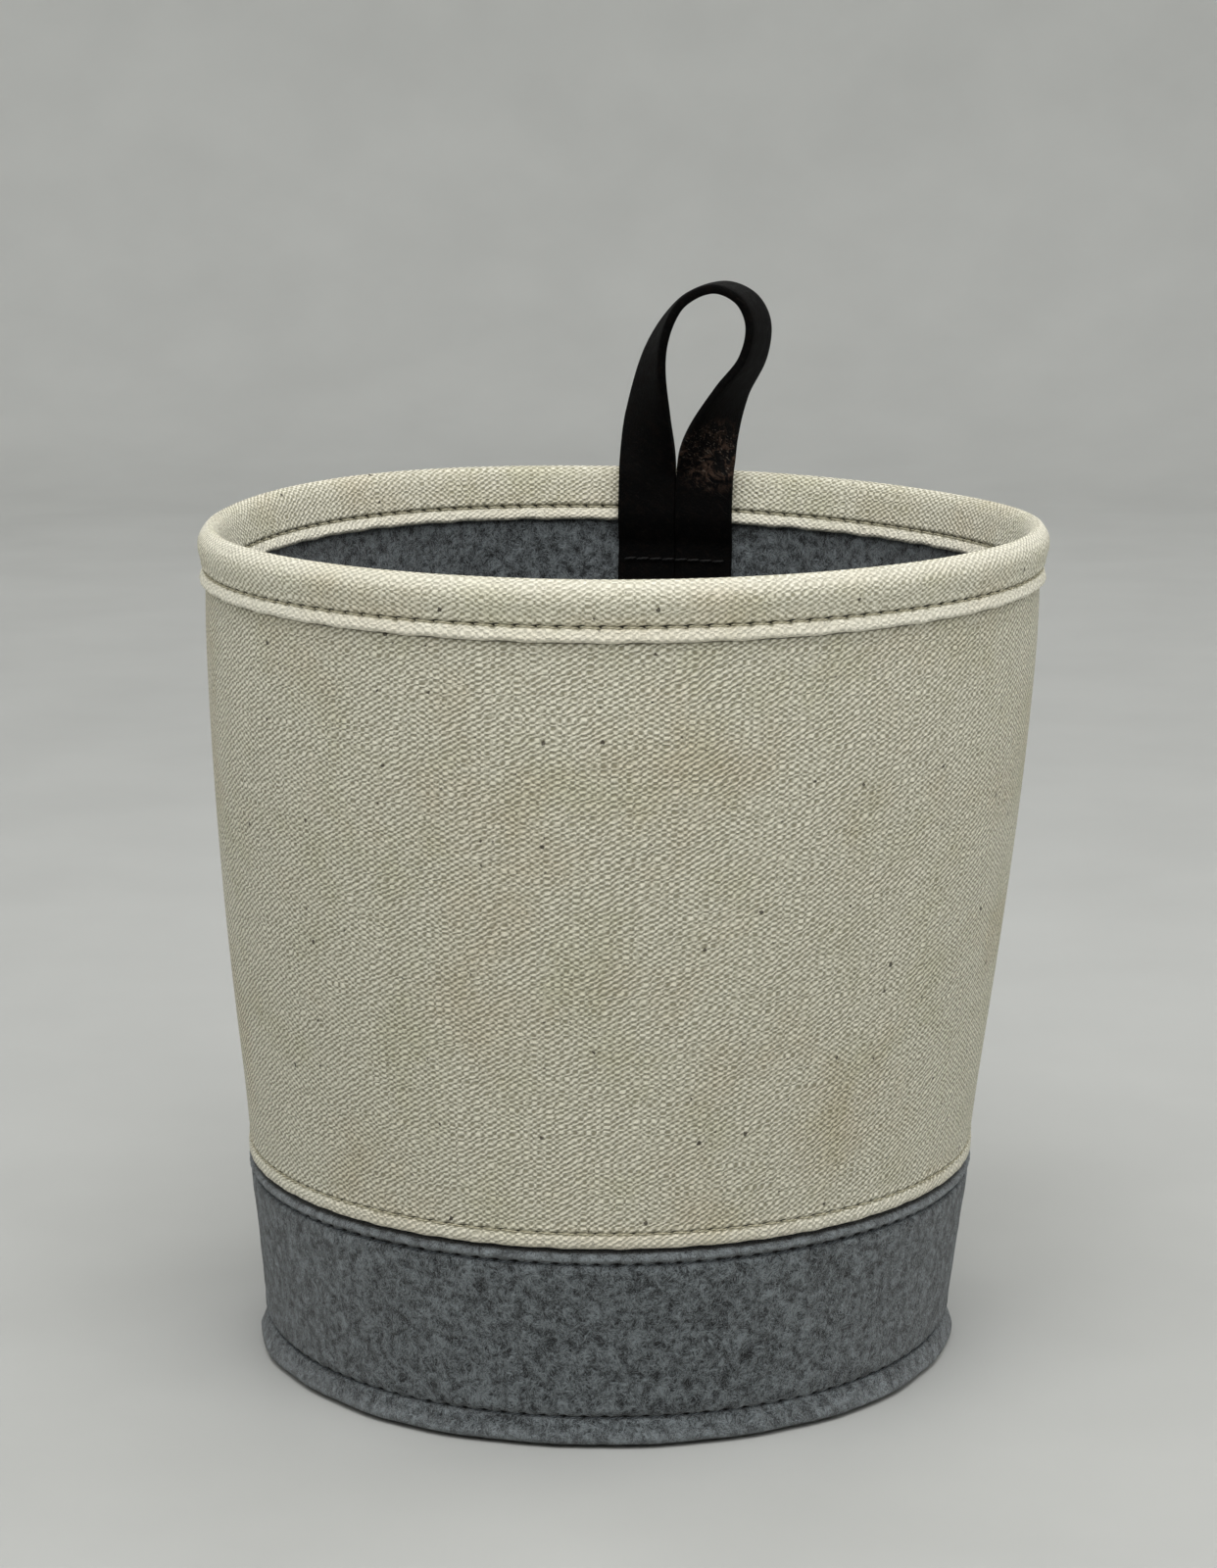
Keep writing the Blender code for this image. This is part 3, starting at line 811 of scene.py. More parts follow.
@dataclass
class ClothPiece:
    """A closed section turned about the bucket's axis and then worked into shape.

    The section is a list of (radius, height) points. How far along the section a point lies is kept
    on the mesh, so that the cloth's grain can be laid along it.
    """

    name: str
    finish: Finish
    section: Profile
    replaces: tuple[str, ...]
    segments: int = 480
    arc: tuple[float, float] | None = None
    shaper: Shaper | None = None
    lumps: float = 0.0
    lump_size: float = 0.006
    grain_radius: float = PATTERN.rim_radius

    def make(self) -> bpy.types.Object:
        """Build the piece, dress it and ride it on the bucket.

        Returns:
            The finished object.
        """
        mesh = self.turn()
        self.lay_grain(mesh)
        self.work(mesh)
        return publish(mesh, self.name, self.finish, self.replaces)

    def turn(self) -> bpy.types.Mesh:
        """Spin the section about Z into a closed mesh.

        Returns:
            The mesh, with the distance along the section in its "run" attribute.
        """
        start, end = self.arc or (BACK, BACK + math.tau)
        sectors = 1 if self.arc else SECTORS
        solid = bmesh.new()
        run = solid.verts.layers.float.new("run")
        steps = np.hypot(*np.diff(np.asarray(self.section), axis=0).T)
        points = []
        for (radius, z), walked in zip(self.section, np.concatenate([[0], np.cumsum(steps)])):
            point = solid.verts.new((radius * math.cos(start), radius * math.sin(start), z))
            point[run] = walked
            points.append(point)
        edges = [solid.edges.new(pair) for pair in zip(points, points[1:] + points[:1])]
        spun = bmesh.ops.spin(
            solid, geom=points + edges, cent=(0, 0, 0), axis=(0, 0, 1),
            angle=(end - start) / sectors, steps=self.segments // sectors, use_merge=False,
        )
        if self.arc:
            far = [item for item in spun["geom_last"] if isinstance(item, bmesh.types.BMEdge)]
            for ring in (edges, far):
                bmesh.ops.contextual_create(solid, geom=ring)
        # spinning one sector and welding its turned copies is far quicker than one long spin
        sector = solid.verts[:] + solid.edges[:] + solid.faces[:]
        for turn in range(1, sectors):
            copied = bmesh.ops.duplicate(solid, geom=sector)["geom"]
            corners = [item for item in copied if isinstance(item, bmesh.types.BMVert)]
            about = Matrix.Rotation(math.tau * turn / sectors, 3, "Z")
            bmesh.ops.rotate(solid, verts=corners, cent=(0, 0, 0), matrix=about)
        if sectors > 1:
            bmesh.ops.remove_doubles(solid, verts=solid.verts, dist=WELD)
        bmesh.ops.recalc_face_normals(solid, faces=solid.faces)
        mesh = bpy.data.meshes.new(self.name)
        solid.to_mesh(mesh)
        solid.free()
        return mesh

    def lay_grain(self, mesh: bpy.types.Mesh) -> None:
        """Map the cloth in millimetres: around the bucket from the front, and along the section.

        Args:
            mesh: the turned mesh, not yet worked.
        """
        corners = np.empty(len(mesh.loops), np.int32)
        mesh.loops.foreach_get("vertex_index", corners)
        sizes = np.empty(len(mesh.polygons), np.int32)
        mesh.polygons.foreach_get("loop_total", sizes)
        run = np.empty(len(mesh.vertices), np.float32)
        mesh.attributes["run"].data.foreach_get("value", run)
        x, y, _ = positions(mesh).T
        angle = np.arctan2(x, -y)[corners]
        face = np.repeat(np.arange(len(sizes)), sizes)
        centre = np.arctan2(np.bincount(face, np.sin(angle)), np.bincount(face, np.cos(angle)))[face]
        turn = (angle - centre + math.pi) % math.tau - math.pi
        grain = np.stack([(centre + turn) * self.grain_radius / MM, run[corners] / MM], axis=1)
        layer = mesh.uv_layers.new(name="cloth_mm")
        layer.data.foreach_set("uv", grain.astype(np.float32).ravel())

    def work(self, mesh: bpy.types.Mesh) -> None:
        """Pinch, puff and roughen the turned mesh, then settle it.

        Args:
            mesh: the mesh to move.
        """
        points = positions(mesh)
        if self.shaper:
            angle = np.arctan2(points[:, 1], points[:, 0])
            reach = np.hypot(points[:, 0], points[:, 1])
            out, up, needle, fold = self.shaper(angle, reach, points[:, 2]).T
            points[:, 0] += out * np.cos(angle)
            points[:, 1] += out * np.sin(angle)
            points[:, 2] += up
            # the needle attribute carries painted shade and the fold attribute painted highlight
            for name, amount in (("needle", needle), ("fold", fold)):
                mark = mesh.attributes.new(name, "FLOAT", "POINT")
                mark.data.foreach_set("value", amount.astype(np.float32))
        if self.lumps:
            normals = np.empty(len(mesh.vertices) * 3, np.float32)
            mesh.vertices.foreach_get("normal", normals)
            amount = mottled(points, self.lump_size, 5.0) + 0.5 * mottled(points, self.lump_size / 3, 9.0)
            points += normals.reshape(-1, 3) * (amount * self.lumps)[:, None]
        points = STANCE.settle(points)
        points[:, 2] = np.maximum(points[:, 2], 0.0)
        mesh.vertices.foreach_set("co", points.astype(np.float32).ravel())
        mesh.update()


def positions(mesh: bpy.types.Mesh) -> np.ndarray:
    """All vertex positions of a mesh.

    Args:
        mesh: the mesh to read.

    Returns:
        Array with a row for each vertex.
    """
    flat = np.empty(len(mesh.vertices) * 3, np.float32)
    mesh.vertices.foreach_get("co", flat)
    return flat.reshape(-1, 3).astype(float)


def publish(
    mesh: bpy.types.Mesh,
    name: str,
    finish: Finish,
    replaces: Sequence[str],
    body: str | None = "bucket",
) -> bpy.types.Object:
    """Make a finished mesh an object of the scene, standing for its CAD nodes.

    Args:
        mesh: the finished mesh.
        name: the object's name.
        finish: its finish.
        replaces: CAD nodes that it stands for.
        body: CAD body that it rides on, or None to leave it unparented.

    Returns:
        The object.
    """
    mesh.shade_smooth()
    mesh.materials.append(finish.material())
    made = bpy.data.objects.new(name, mesh)
    bpy.context.scene.collection.objects.link(made)
    if body:
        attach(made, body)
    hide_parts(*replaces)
    log.info("%s: %d faces of %s", name, len(mesh.polygons), finish.name)
    return made


# ---- stitching -----------------------------------------------------------------------------------


@dataclass(frozen=True)
class Seam:
    """One lockstitched row around the bucket: its height, its stitch and its pull on the cloth."""

    z: float
    radius: float
    stitch: float
    phase: float = 0.0

    @property
    def count(self) -> int:
        """Whole number of stitches that closes the row."""
        return round(math.tau * self.radius / self.stitch)

    def pull(self, angle: np.ndarray) -> np.ndarray:
        """How hard the thread pulls at an angle: 1 at a needle hole and 0 midway between two."""
        turn = angle * self.count + self.phase
        return (0.5 + 0.5 * np.cos(turn)) ** 3

    def dash(self, angle: np.ndarray, z: np.ndarray, width: float) -> np.ndarray:
        """How far a point lies in the slanting slit that the thread pulls open beside each hole.

        Args:
            angle: angle of each point about the axis.
            z: height of each point.
            width: height of the slit.

        Returns:
            1 in the middle of a slit and 0 away from it.
        """
        turn = angle * self.count + self.phase
        slip = 0.14 * MM * np.sin(turn)
        return bell(z, self.z + 0.08 * MM + slip, width) * (0.5 + 0.5 * np.cos(turn)) ** 1.1

    def holes(self) -> np.ndarray:
        """Angles of the needle holes, with the first repeated at the end to close the row."""
        return (np.arange(self.count + 1) * math.tau - self.phase) / self.count


@dataclass
class StitchRow:
    """Separate stitches laid between needle holes, each one dipping into the cloth at both ends."""

    name: str
    finish: Finish
    holes: np.ndarray
    outward: np.ndarray
    replaces: tuple[str, ...]
    thickness: float = 0.00052
    lift: float = 0.00030
    sink: float = 0.00018
    slant: float = 0.00015
    fill: float = 0.98
    body: str = "bucket"

    def make(self) -> bpy.types.Object:
        """Build all the row's stitches as one object.

        Returns:
            The finished object.
        """
        base = self.single()
        unit = positions(base)
        starts, ends = self.holes[:-1], self.holes[1:]
        along = ends - starts
        length = np.linalg.norm(along, axis=1, keepdims=True)
        along = along / length
        out = self.outward[:-1] + self.outward[1:]
        out = out / np.linalg.norm(out, axis=1, keepdims=True)
        side = np.cross(out, along)
        t = unit[:, 2]
        arch = self.lift * (1 - t**2) ** 0.6 - self.sink
        lean = self.slant * t
        middle = (starts + ends) / 2
        across = unit[:, 0] * self.thickness / 2 + lean
        over = unit[:, 1] * self.thickness / 2 + arch
        points = (
            middle[:, None]
            + along[:, None] * (t[None, :, None] * length[:, None] * self.fill / 2)
            + side[:, None] * across[None, :, None]
            + out[:, None] * over[None, :, None]
        ).reshape(-1, 3)
        row = bmesh.new()
        for _ in range(len(starts)):
            row.from_mesh(base)
        mesh = bpy.data.meshes.new(self.name)
        row.to_mesh(mesh)
        row.free()
        mesh.vertices.foreach_set("co", STANCE.settle(points).astype(np.float32).ravel())
        mesh.update()
        bpy.data.meshes.remove(base)
        return publish(mesh, self.name, self.finish, self.replaces, self.body)

    @staticmethod
    def single() -> bpy.types.Mesh:
        """One stitch of unit size along Z, thick in the middle and tapered at its ends.

        Returns:
            A small closed mesh with a map for the ply twist.
        """
        stitch = bmesh.new()
        stitch.loops.layers.uv.new("stitch")
        bmesh.ops.create_uvsphere(stitch, u_segments=8, v_segments=7, radius=1.0, calc_uvs=True)
        for vertex in stitch.verts:
            # square the ball off, so that the thread keeps its thickness over most of its length
            reach = math.hypot(vertex.co.x, vertex.co.y)
            if reach > 1e-6:
                full = (1 - abs(vertex.co.z) ** 4) ** 0.5
                vertex.co.x *= full / reach
                vertex.co.y *= full / reach
        mesh = bpy.data.meshes.new("single_stitch")
        stitch.to_mesh(mesh)
        stitch.free()
        return mesh


def ring_row(
    name: str, finish: Finish, seam: Seam, radius: float, z: float, side: Side, **details: float
) -> bpy.types.Object:
    """Lay a row of stitches around the bucket.

    Args:
        name: CAD node of the row, which names the object too, with a suffix.
        finish: the thread.
        seam: the seam that sets where the needle holes are.
        radius: radius of the surface that the thread lies on.
        z: height of the row.
        side: face of the wall that the thread shows on.
        details: other fields of StitchRow.

    Returns:
        The finished row.
    """
    angles = seam.holes()
    facing = np.stack([np.cos(angles), np.sin(angles), np.zeros_like(angles)], axis=1)
    holes = facing * radius + np.array([0, 0, z])
    return StitchRow(name + "_row", finish, holes, facing * side.value, (name,), **details).make()


def line_row(
    name: str,
    finish: Finish,
    heights: Sequence[float],
    radius: Callable[[float], float],
    offsets: Sequence[float],
    side: Side,
    **details: float,
) -> bpy.types.Object:
    """Lay a row of stitches up the back of the bucket.

    Args:
        name: CAD node of the row.
        finish: the thread.
        heights: height of each needle hole.
        radius: radius of the surface at a height.
        offsets: sideways place of each needle hole, to the left of the back's middle.
        side: face of the wall that the thread shows on.
        details: other fields of StitchRow.

    Returns:
        The finished row.
    """
    reach = np.array([float(radius(z)) for z in heights])
    angles = BACK + np.asarray(offsets) / reach
    facing = np.stack([np.cos(angles), np.sin(angles), np.zeros_like(angles)], axis=1)
    holes = facing * reach[:, None] + np.array([[0, 0, z] for z in heights])
    return StitchRow(name + "_row", finish, holes, facing * side.value, (name,), **details).make()


# ---- sub-assemblies ------------------------------------------------------------------------------


@dataclass
class RimBinding:
    """Canvas strip rolled over the wall's top edge, with a stitched lip outside and inside."""

    stitch: float = 0.0043
    half: float = 0.00225
    puff: float = 0.0007
    give: float = 0.0013  # room for the needle holes inside the strip
    inner_groove: float = 0.00242
    cut_width: float = 0.029
    seam: Seam = field(init=False)
    middle: float = field(init=False)

    def __post_init__(self) -> None:
        """Place the roll's middle line and its seam."""
        self.middle = PATTERN.rim_radius - self.puff - PATTERN.canvas - self.half
        self.seam = Seam(PATTERN.rim_stitch, self.middle + self.half + PATTERN.canvas, self.stitch, 0.8)

    def section(self) -> Profile:
        """The strip's section: outer lip, groove, roll, inner groove, inner lip and its hidden side.

        Returns:
            Points of the closed section.
        """
        face = self.half + PATTERN.canvas
        lip, groove, top = PATTERN.lip_edge, PATTERN.rim_stitch, PATTERN.height
        side = [
            (face - 1.20 * MM, lip + 0.50 * MM),
            (face - 0.80 * MM, lip + 0.04 * MM),
            (face + 0.02 * MM, lip + 0.06 * MM),
            (face + 0.16 * MM, lip + 0.50 * MM),
            (face + 0.04 * MM, lip + 1.30 * MM),
            (face - 0.26 * MM, groove - 0.90 * MM),
            (face - 0.68 * MM, groove - 0.22 * MM),
            (face - 0.74 * MM, groove + 0.12 * MM),
            (face - 0.34 * MM, groove + 0.60 * MM),
            (face + 0.00 * MM, groove + 1.90 * MM),
            (face + 0.62 * MM, groove + 4.60 * MM),
            (face + 0.52 * MM, groove + 6.30 * MM),
            (face - 0.35 * MM, groove + 8.00 * MM),
            (1.30 * MM, top),
        ]
        inner = [
            (0.55 * MM, groove + 8.10 * MM),
            (1.45 * MM, groove + 6.20 * MM),
            (2.00 * MM, groove + 4.20 * MM),
            (2.60 * MM, groove + 1.80 * MM),
            (2.72 * MM, groove + 0.60 * MM),
            (2.38 * MM, groove + 0.10 * MM),
            (2.46 * MM, groove - 0.24 * MM),
            (2.95 * MM, groove - 0.90 * MM),
            (3.45 * MM, lip + 1.30 * MM),
            (3.60 * MM, lip + 0.50 * MM),
            (3.20 * MM, lip + 0.06 * MM),
            (2.30 * MM, lip + 0.04 * MM),
            (1.90 * MM, lip + 0.50 * MM),
        ]
        knots = side + [(-r, z) for r, z in inner]
        turned = [(self.middle + r, z) for r, z in knots]
        skin = stitched_section(turned, [groove], 0.24 * MM, 0.96 * MM)
        core = self.half - self.give
        inside = [
            (self.middle - core, lip + 0.8 * MM),
            (self.middle - core + 0.5 * MM, top - 4.2 * MM),
            (self.middle + 1.1 * MM, top - 1.4 * MM),
            (self.middle + core, top - 3.2 * MM),
            (self.middle + core, lip + 0.8 * MM),
        ]
        return skin + inside

    def pinch(self, angle: np.ndarray, reach: np.ndarray, z: np.ndarray) -> np.ndarray:
        """Pull the strip in at each needle hole and let it puff between them.

        Args:
            angle: angle of each point about the axis.
            reach: radius of each point.
            z: height of each point.

        Returns:
            How far each point moves outward and up, and how far it is in a needle hole or a fold.
        """
        side = np.sign(reach - self.middle)
        skin = smooth_step(1.2 * MM, 1.6 * MM, np.abs(reach - self.middle))
        pull = self.seam.pull(angle)
        # the slits are pressed in, and also painted in shade through the needle attribute
        hole = self.seam.dash(angle, z, 0.36 * MM)
        puckered = bell(z, self.seam.z - 0.75 * MM, 0.55 * MM) + bell(z, self.seam.z + 1.1 * MM, 0.7 * MM)
        lip = smooth_step(self.seam.z - 0.4 * MM, self.seam.z - 1.8 * MM, z)
        out = -0.75 * hole + puckered * (0.10 - 0.24 * pull) - 0.16 * lip * pull
        up = bell(z, self.seam.z - 0.6 * MM, 0.6 * MM) * (0.16 - 0.40 * pull)
        ripple = 0.10 * np.sin(angle * 41 + 1.3) + 0.08 * np.sin(angle * 67 + 0.2)
        edge = lip * ripple
        # painted highlight on the lip under the groove, which faces the light from above
        fold = smooth_step(self.seam.z - 0.2 * MM, self.seam.z - 0.9 * MM, z)
        # painted highlight on the top of the roll, where the strip bends over the top and the light from
        # above falls
        fold += 0.75 * smooth_step(PATTERN.height - 4.0 * MM, PATTERN.height - 0.8 * MM, z)
        return np.stack(
            [side * skin * (out + 0.5 * edge) * MM, skin * (up + edge) * MM, skin * hole, skin * fold],
            axis=1,
        )

    def build(self) -> None:
        """Make the strip and its two threads."""
        strip = ClothPiece(
            "rim_binding_strip", TIGHT_CANVAS, self.section(), ("rim_binding",),
            segments=1200, shaper=self.pinch,
        ).make()
        groove = self.half + PATTERN.canvas - 0.70 * MM
        for name, side, reach in (
            ("rim_thread_outer", Side.OUTSIDE, groove),
            ("rim_thread_inner", Side.INSIDE, self.inner_groove),
        ):
            ring_row(
                name, NATURAL_THREAD, self.seam, self.middle + side.value * reach,
                self.seam.z - 0.10 * MM, side, thickness=0.00042, sink=0.00030, lift=0.00046, slant=-0.00012,
            )


@dataclass
class CanvasWall:
    """Outer canvas wall with its hem folded up inside, and the tape over its back join."""

    stitch: float = 0.0040
    tape_width: float = 0.0120
    tape_row_inset: float = 0.0020
    mean_radius: float = 0.0868
    seam: Seam = field(init=False)

    def __post_init__(self) -> None:
        """Place the hem's seam."""
        self.seam = Seam(PATTERN.hem_stitch, float(PATTERN.wall(PATTERN.hem_stitch)), self.stitch, 2.0)

    def section(self) -> Profile:
        """Section of the wall: outer face from the fold to the top, then back down the inside.

        Returns:
            Points of the closed section.
        """
        edge, stitch, top = PATTERN.hem_edge, self.seam.z, PATTERN.wall_top
        plies = 2 * PATTERN.canvas + PATTERN.clearance
        fold = plies / 2
        knots = [
            (self.outer(edge) - plies, edge + fold),
            (self.outer(edge) - plies * 0.8, edge + fold * 0.25),
            (self.outer(edge) - fold + 0.2 * MM, edge),
            (self.outer(edge) + 0.34 * MM, edge + fold * 0.40),
            (self.outer(edge) + 0.48 * MM, edge + 1.2 * MM),
            (self.outer(stitch) + 0.20 * MM, stitch - 0.80 * MM),
            (self.outer(stitch) - 0.14 * MM, stitch - 0.18 * MM),
            (self.outer(stitch) - 0.14 * MM, stitch + 0.12 * MM),
            (self.outer(stitch) + 0.12 * MM, stitch + 0.60 * MM),
            (self.outer(stitch) + 0.08 * MM, stitch + 1.6 * MM),
        ]
        knots += [(self.outer(z), z) for z in np.arange(stitch + 3 * MM, stitch + 8 * MM, 2.5 * MM)]
        low = stitched_section(knots, [stitch], 0.25 * MM, 1.0 * MM)
        bound = PATTERN.lip_edge + 1.2 * MM
        rows = [*np.arange(low[-1][1] + 2 * MM, bound - 3.5 * MM, 3 * MM)]
        rows += [PATTERN.lip_edge + step * MM for step in (-1.6, -1.0, -0.6, -0.3, 0.0, 0.4, 1.2)]
        high = [(self.outer(z), z) for z in rows]
        # sewing squeezes the wall thinner inside the binding
        skin = low + high + [(self.outer(z) - 1.2 * MM, z) for z in (bound + 1 * MM, top)]
        hem_top = edge + PATTERN.hem_allowance
        hidden = [(self.outer(top) - PATTERN.canvas - 1.2 * MM, top)]
        inner = [(self.outer(z) - PATTERN.canvas, z) for z in np.linspace(bound, hem_top + 2 * MM, 12)]
        return skin + hidden + inner + [(self.outer(hem_top) - plies, hem_top)]

    @staticmethod
    def outer(z: float) -> float:
        """Outer radius of the wall at a height."""
        return float(PATTERN.wall(z))

    def pinch(self, angle: np.ndarray, reach: np.ndarray, z: np.ndarray) -> np.ndarray:
        """Pull the hem in at its needle holes, and wave the wall softly.

        Args:
            angle: angle of each point about the axis.
            reach: radius of each point.
            z: height of each point.

        Returns:
            How far each point moves outward and up, how much painted shade it takes in a needle hole or
            under the binding's lip, and how much painted highlight it takes on the hem's lip.
        """
        pull = self.seam.pull(angle)
        hole = self.seam.dash(angle, z, 0.38 * MM)
        puckered = bell(z, self.seam.z - 0.8 * MM, 0.6 * MM) + bell(z, self.seam.z + 1.0 * MM, 0.7 * MM)
        lip = smooth_step(self.seam.z, self.seam.z - 1.2 * MM, z)
        rise = smooth_step(self.seam.z, self.seam.z + 0.03, z) * smooth_step(0.172, 0.150, z)
        wave = 0.16 * np.sin(7 * angle + 40 * z) + 0.12 * np.sin(11 * angle - 65 * z + 1.0)
        out = -0.50 * hole + puckered * (0.06 - 0.14 * pull) + rise * wave
        up = lip * (0.06 * np.sin(angle * 47 + 0.5) + 0.05 * np.sin(angle * 83))
        # painted shadow: the wall just under the binding's lip is darkened, as the lip shades it
        lip_shadow = 0.62 * smooth_step(PATTERN.lip_edge - 0.75 * MM, PATTERN.lip_edge - 0.25 * MM, z)
        # painted highlight on the hem's lip below the stitching, which faces the light
        return np.stack([out * MM, up * MM, np.maximum(0.8 * hole, lip_shadow), 0.6 * lip], axis=1)

    def build(self) -> None:
        """Make the wall, its hem threads, the back tape and the tape's threads."""
        wall = ClothPiece(
            "canvas_wall", CANVAS, self.section(), ("canvas_shell",), segments=1080,
            shaper=self.pinch, grain_radius=self.mean_radius,
        ).make()
        groove = self.outer(self.seam.z) - 0.14 * MM
        ring_row(
            "hem_thread_outer", NATURAL_THREAD, self.seam, groove, self.seam.z - 0.05 * MM, Side.OUTSIDE,
            thickness=0.00040, sink=0.00028, lift=0.00042, slant=-0.00010,
        )
        lining = float(PATTERN.lining(self.seam.z))
        ring_row("hem_thread_inner", GREY_THREAD, self.seam, lining, self.seam.z, Side.INSIDE)
        self.tape()

    def tape(self) -> None:
        """Canvas tape down the back, with a row of stitches near each edge."""
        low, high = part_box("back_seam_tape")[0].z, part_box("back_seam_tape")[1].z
        ply = PATTERN.canvas + PATTERN.clearance
        half = self.tape_width / 2 / PATTERN.hem_radius
        heights = np.linspace(low, high, 60)
        section = [(self.outer(z) + ply - 0.1 * MM, z) for z in heights]
        section += [(self.outer(z) + 0.15 * MM, z) for z in heights[::-1]]
        ClothPiece(
            "back_tape", CANVAS, section, ("back_seam_tape",), segments=24,
            arc=(BACK - half, BACK + half), grain_radius=self.mean_radius,
        ).make()
        row = self.tape_width / 2 - self.tape_row_inset
        holes = np.arange(low + 1.5 * MM, high - 1.0 * MM, self.stitch)
        for name, hand in (("tape_thread_left", 1), ("tape_thread_right", -1)):
            angle = hand * row / PATTERN.hem_radius
            line_row(
                name, NATURAL_THREAD, holes, lambda z: self.outer(z) + ply - 0.1 * MM,
                [angle * self.outer(z) for z in holes], Side.OUTSIDE,
            )


@dataclass
class FeltBody:
    """Felt lining, the band and flange around the foot, and the base turned down inside it."""

    stitch: float = 0.0043
    lumps: float = 0.00010
    band_radius: float = 0.079
    lining_radius: float = 0.0835
    zigzag_step: float = 0.0030
    zigzag_reach: float = 0.0015
    band_seam: Seam = field(init=False)
    base_seam: Seam = field(init=False)

    def __post_init__(self) -> None:
        """Place the band's two seams."""
        self.band_seam = Seam(PATTERN.band_stitch, PATTERN.hem_radius, self.stitch, 1.1)
        self.base_seam = Seam(PATTERN.flange, PATTERN.waist_radius, self.stitch, 0.3)

    def band_section(self) -> Profile:
        """Section of the band: flange, waist groove, wall, top groove and the puff under the hem.

        Returns:
            Points of the closed section.
        """
        waist, stitch, felt = PATTERN.flange, PATTERN.band_stitch, PATTERN.felt
        foot, top = PATTERN.foot_radius, PATTERN.hem_edge - 0.25 * MM
        tuck = PATTERN.waist_radius
        knots = [
            (foot - 2.7 * MM, 0.0),
            (foot - 2.4 * MM, 0.55 * MM),
            (foot - 1.2 * MM, 0.75 * MM),
            (foot - 0.20 * MM, 1.00 * MM),
            (foot + 0.20 * MM, 1.55 * MM),
            (foot + 0.18 * MM, 2.3 * MM),
            (foot - 0.45 * MM, 3.4 * MM),
            (tuck + 0.45 * MM, waist - 1.0 * MM),
            (tuck + 0.00 * MM, waist - 0.28 * MM),
            (tuck - 0.36 * MM, waist + 0.05 * MM),
            (tuck + 0.10 * MM, waist + 0.45 * MM),
            (tuck + 0.60 * MM, waist + 1.4 * MM),
            (float(PATTERN.band(waist + 5 * MM)) + 0.40 * MM, waist + 5 * MM),
            (float(PATTERN.band(stitch - 12 * MM)) + 0.20 * MM, stitch - 12 * MM),
            (float(PATTERN.band(stitch - 2.2 * MM)) + 0.20 * MM, stitch - 2.2 * MM),
            (PATTERN.hem_radius - 0.15 * MM, stitch - 0.55 * MM),
            (PATTERN.hem_radius - 0.60 * MM, stitch - 0.05 * MM),
            (PATTERN.hem_radius - 0.45 * MM, stitch + 0.50 * MM),
            (PATTERN.hem_radius + 0.35 * MM, stitch + 1.1 * MM),
            (PATTERN.hem_radius + 0.45 * MM, stitch + 1.7 * MM),
            (PATTERN.hem_radius - 0.05 * MM, stitch + 2.5 * MM),
            (PATTERN.hem_radius - 1.1 * MM, stitch + 2.95 * MM),
            (PATTERN.hem_radius - 1.7 * MM, top),
        ]
        skin = stitched_section(knots, [waist, stitch], 0.28 * MM, 0.84 * MM)
        inner = [(PATTERN.hem_radius - felt + 0.1 * MM, top)]
        inner += [(float(PATTERN.band(z)) - felt + 0.2 * MM, z) for z in np.linspace(stitch, waist, 6)]
        inner += [(foot - felt - 0.1 * MM, 0.0)]
        return skin + inner

    def pinch(self, angle: np.ndarray, reach: np.ndarray, z: np.ndarray) -> np.ndarray:
        """Pull the felt in at both seams, flare the flange unevenly and wave the wall.

        Args:
            angle: angle of each point about the axis.
            reach: radius of each point.
            z: height of each point.

        Returns:
            How far each point moves outward and up, how much painted shade it takes in a needle hole, a
            seam's groove, under the canvas hem or at the floor, and how much painted highlight it takes on
            the flange and the puff under the hem.
        """
        out = np.zeros_like(z)
        needle = np.zeros_like(z)
        for seam in (self.band_seam, self.base_seam):
            pull = seam.pull(angle)
            # painted shade in the needle slits and along each seam's groove
            needle += 0.85 * seam.dash(angle, z, 0.40 * MM) + 0.25 * bell(z, seam.z, 0.35 * MM)
            out -= bell(z, seam.z, 0.50 * MM) * 0.85 * pull
            puckered = bell(z, seam.z + 1.5 * MM, 1.1 * MM) + bell(z, seam.z - 1.5 * MM, 1.1 * MM)
            out += puckered * (0.10 - 0.26 * pull)
        flange = smooth_step(self.base_seam.z - 1 * MM, 0.0, z)
        out += flange * (0.22 * np.sin(9 * angle + 0.7) + 0.15 * np.sin(23 * angle))
        out += 0.15 * np.sin(6 * angle + 90 * z)
        # painted shade: under the canvas hem and at the floor the felt is always in shadow, so it is
        # darkened there
        needle += smooth_step(self.band_seam.z + 2.45 * MM, self.band_seam.z + 2.85 * MM, z)
        needle += smooth_step(1.30 * MM, 0.95 * MM, z)
        # painted highlight on the flange and on the puff under the hem, where the light from above falls
        fold = flange + bell(z, self.band_seam.z + 1.5 * MM, 0.8 * MM)
        return np.stack([out * MM, np.zeros_like(z), np.clip(needle, 0, 1), fold], axis=1)

